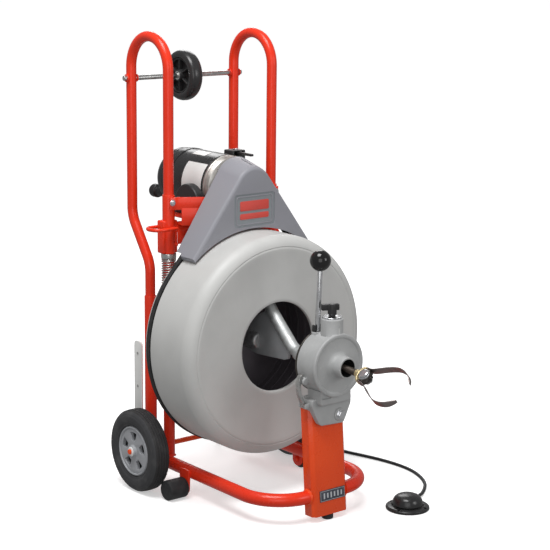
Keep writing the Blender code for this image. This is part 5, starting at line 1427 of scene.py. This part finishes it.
def make_cutter():
    ferrule = spun("ferrule", [(0.0, 0.019), (0.0092, 0.019), (0.0092, 0.031), (0.0, 0.031)], 0.0008,
        "Y", (0, 0, 0), 48, False)
    bow = arc((0, 0), 0.0235, 26, 154, 32) + arc((0, 0), 0.0175, 154, 26, 32)
    bow = plate("bow", [bow], 0.018, "XY", (0, 0, 0), 0.0012)
    yoke = fuse(ferrule, bow)
    yoke.name = "cutter_bow"
    show(in_cutter(yoke), BRASS, "drum", "brass", "cutter_yoke")
    clamp = coated(box("clamp", (-0.0174, -0.006, -0.0088), (0.0174, 0.005, 0.0088), 0.0022),
        DARK_STEEL)
    for way in (-1, 1):
        head = hex_head("bolt", (0, -0.0005, way * 0.01), (0, 0, way), 0.0205, 0.0055)
        join(clamp, coated(head, CHROME))
    clamp.name = "cutter_block"
    show(in_cutter(clamp), None, "drum", "dark_steel", "cutter_clamp")
    half_strip = [(0.0195, 0.006), (0.0195, -0.006), (0.025, -0.02), (0.037, -0.043), (0.0465, -0.068),
        (0.0475, -0.085), (0.044, -0.1), (0.037, -0.112), (0.0245, -0.125)]
    for index, side in enumerate((1, -1)):
        outline = [(side * u, v) for u, v in ribbon(flat_strand(half_strip), 0.0011)]
        blade = applied(plate(f"blade_{index + 1}", [outline], 0.019, "XY", (0, 0, 0), 0.0004, 2))
        for vertex in blade.data.vertices:
            past = min(max((-0.1 - vertex.co.y) / 0.0262, 0.0), 1.0)
            vertex.co.z *= math.sqrt(1.0 - 0.9 * past * past)
        show(in_cutter(blade), BLADE_STEEL, "drum", "dark_steel", f"cutter_blade_{index + 1}")


# ---------------------------------------------------------------- pedal
def make_pedal():
    x, y, _ = PEDAL
    profile = [(0.0, 0.0035), (0.0385, 0.0035), (0.0385, 0.0095), (0.0415, 0.0095), (0.048, 0.0088),
        (0.052, 0.0066), (0.053, 0.005), (0.053, 0.0015), (0.052, 0.0), (0.0, 0.0)]
    flange = turned("flange", eased(profile, 0.0012, False, 4), "Z", (x, y, 0), 112, False)
    for i in range(4):
        angle = math.radians(20 + 90 * i)
        way = Vector((math.cos(angle), math.sin(angle), 0))
        at = PEDAL + way * 0.0462
        pocket = rod("pocket", at + Vector((0, 0, 0.0045)), at + Vector((0, 0, 0.02)), 0.0042, 0.0003)
        flange = cut(flange, pocket)
    low = PEDAL + Vector((0, 0, 0.0065))
    profile = [(0.0, 0.044), (0.0062, 0.044), (0.0062, 0.05), (0.0054, 0.056), (0.005, 0.0625),
        (0.0046, 0.07), (0.0, 0.07)]
    nozzle = spun("nozzle", profile, 0.0008, "Z", (0, 0, 0), 40, False)
    join(flange, aimed(nozzle, low, NOZZLE_WAY.normalized()))
    flange.name = "pedal_flange"
    show(flange, PEDAL_RUBBER, "base", "black_plastic", "pedal_base", angle=45.0)
    dome = [(0.0, 0.037), (0.011, 0.0366), (0.02, 0.035), (0.027, 0.032), (0.0322, 0.0275),
        (0.0352, 0.0222), (0.0366, 0.0172), (0.0372, 0.014), (0.0376, 0.011), (0.0, 0.011)]
    dome = turned("pedal_bellows", eased(dome, 0.0012, False, 4), "Z", (x, y, 0), 96, False)
    show(dome, PEDAL_RUBBER, "pedal_button", "black_plastic", "pedal_dome", angle=45.0)


# ---------------------------------------------------------------- the machine
hose, hose_route = make_hose()
make_base_tube()
make_side_frames()
make_carrier()
make_axle()
make_feet()
make_stair_slides()
make_column()
make_column_plate()
for wheel_side in (-1, 1):
    make_wheel(wheel_side)
make_loading_wheel()
make_drum()
make_stored_cable()
make_guide_arm()
make_drum_shaft()
make_belt()
make_pulley()
make_handles()
make_sleeve_blocks()
make_springs()
make_motor_bracket()
make_motor()
make_switch_lever()
make_guard()
make_feed_base()
make_feed_housing()
make_selector()
make_feed_lever()
make_latch()
make_cable()
make_cutter()
make_pedal()


# ---------------------------------------------------------------- floor and light
def make_stage():
    floor_mesh = bmesh.new()
    bmesh.ops.create_grid(floor_mesh, x_segments=1, y_segments=1, size=80.0)
    floor = solid("floor", floor_mesh)
    floor.location.z = -0.0002
    look = Look("floor_white", (0.93, 0.93, 0.93, 1.0), 0.7, specular=0.1)
    look.mottle(2.0, (0.92, 0.92, 0.92, 1.0))
    look.shader.inputs["Emission Color"].default_value = (1.0, 1.0, 1.0, 1.0)
    # painted light: the floor glows, weaker near the machine than far off (0.44 within 0.5 m of the
    # origin, 0.72 beyond 2.5 m), so that the floor and shadows round the machine show darker
    middle = look.node("ShaderNodeVectorMath", operation="LENGTH")
    look.link(look.place, middle.inputs[0])
    look.link(look.span(middle.outputs["Value"], 0.5, 2.5, 0.44, 0.72),
        look.shader.inputs["Emission Strength"])
    floor.data.materials.append(look.done())
    floor.visible_diffuse = False
    floor.visible_glossy = False


def make_light(name, place, aim, side, power):
    data = bpy.data.lights.new(name, "AREA")
    data.size = side
    data.energy = power
    light = bpy.data.objects.new(name, data)
    light.location = place
    way = Vector(aim) - Vector(place)
    light.rotation_euler = way.to_track_quat("-Z", "Y").to_euler()
    bpy.context.scene.collection.objects.link(light)


make_stage()
world = bpy.data.worlds.new("studio")
world.use_nodes = True
world.node_tree.nodes["Background"].inputs["Color"].default_value = (1.0, 1.0, 1.0, 1.0)
world.node_tree.nodes["Background"].inputs["Strength"].default_value = 0.32
bpy.context.scene.world = world
bpy.context.scene.view_settings.view_transform = "Standard"
make_light("key", (-1.0, -0.2, 3.5), (0.0, 0.25, 0.5), 1.6, 86.0)
make_light("panel", (-2.6, -3.0, 1.5), (0.0, 0.2, 0.55), 2.6, 30.0)
make_light("front", (1.2, -3.0, 1.6), (0.0, 0.2, 0.45), 1.2, 18.0)
make_light("rear", (1.6, 2.4, 2.2), (0.0, 0.3, 0.5), 1.4, 22.0)
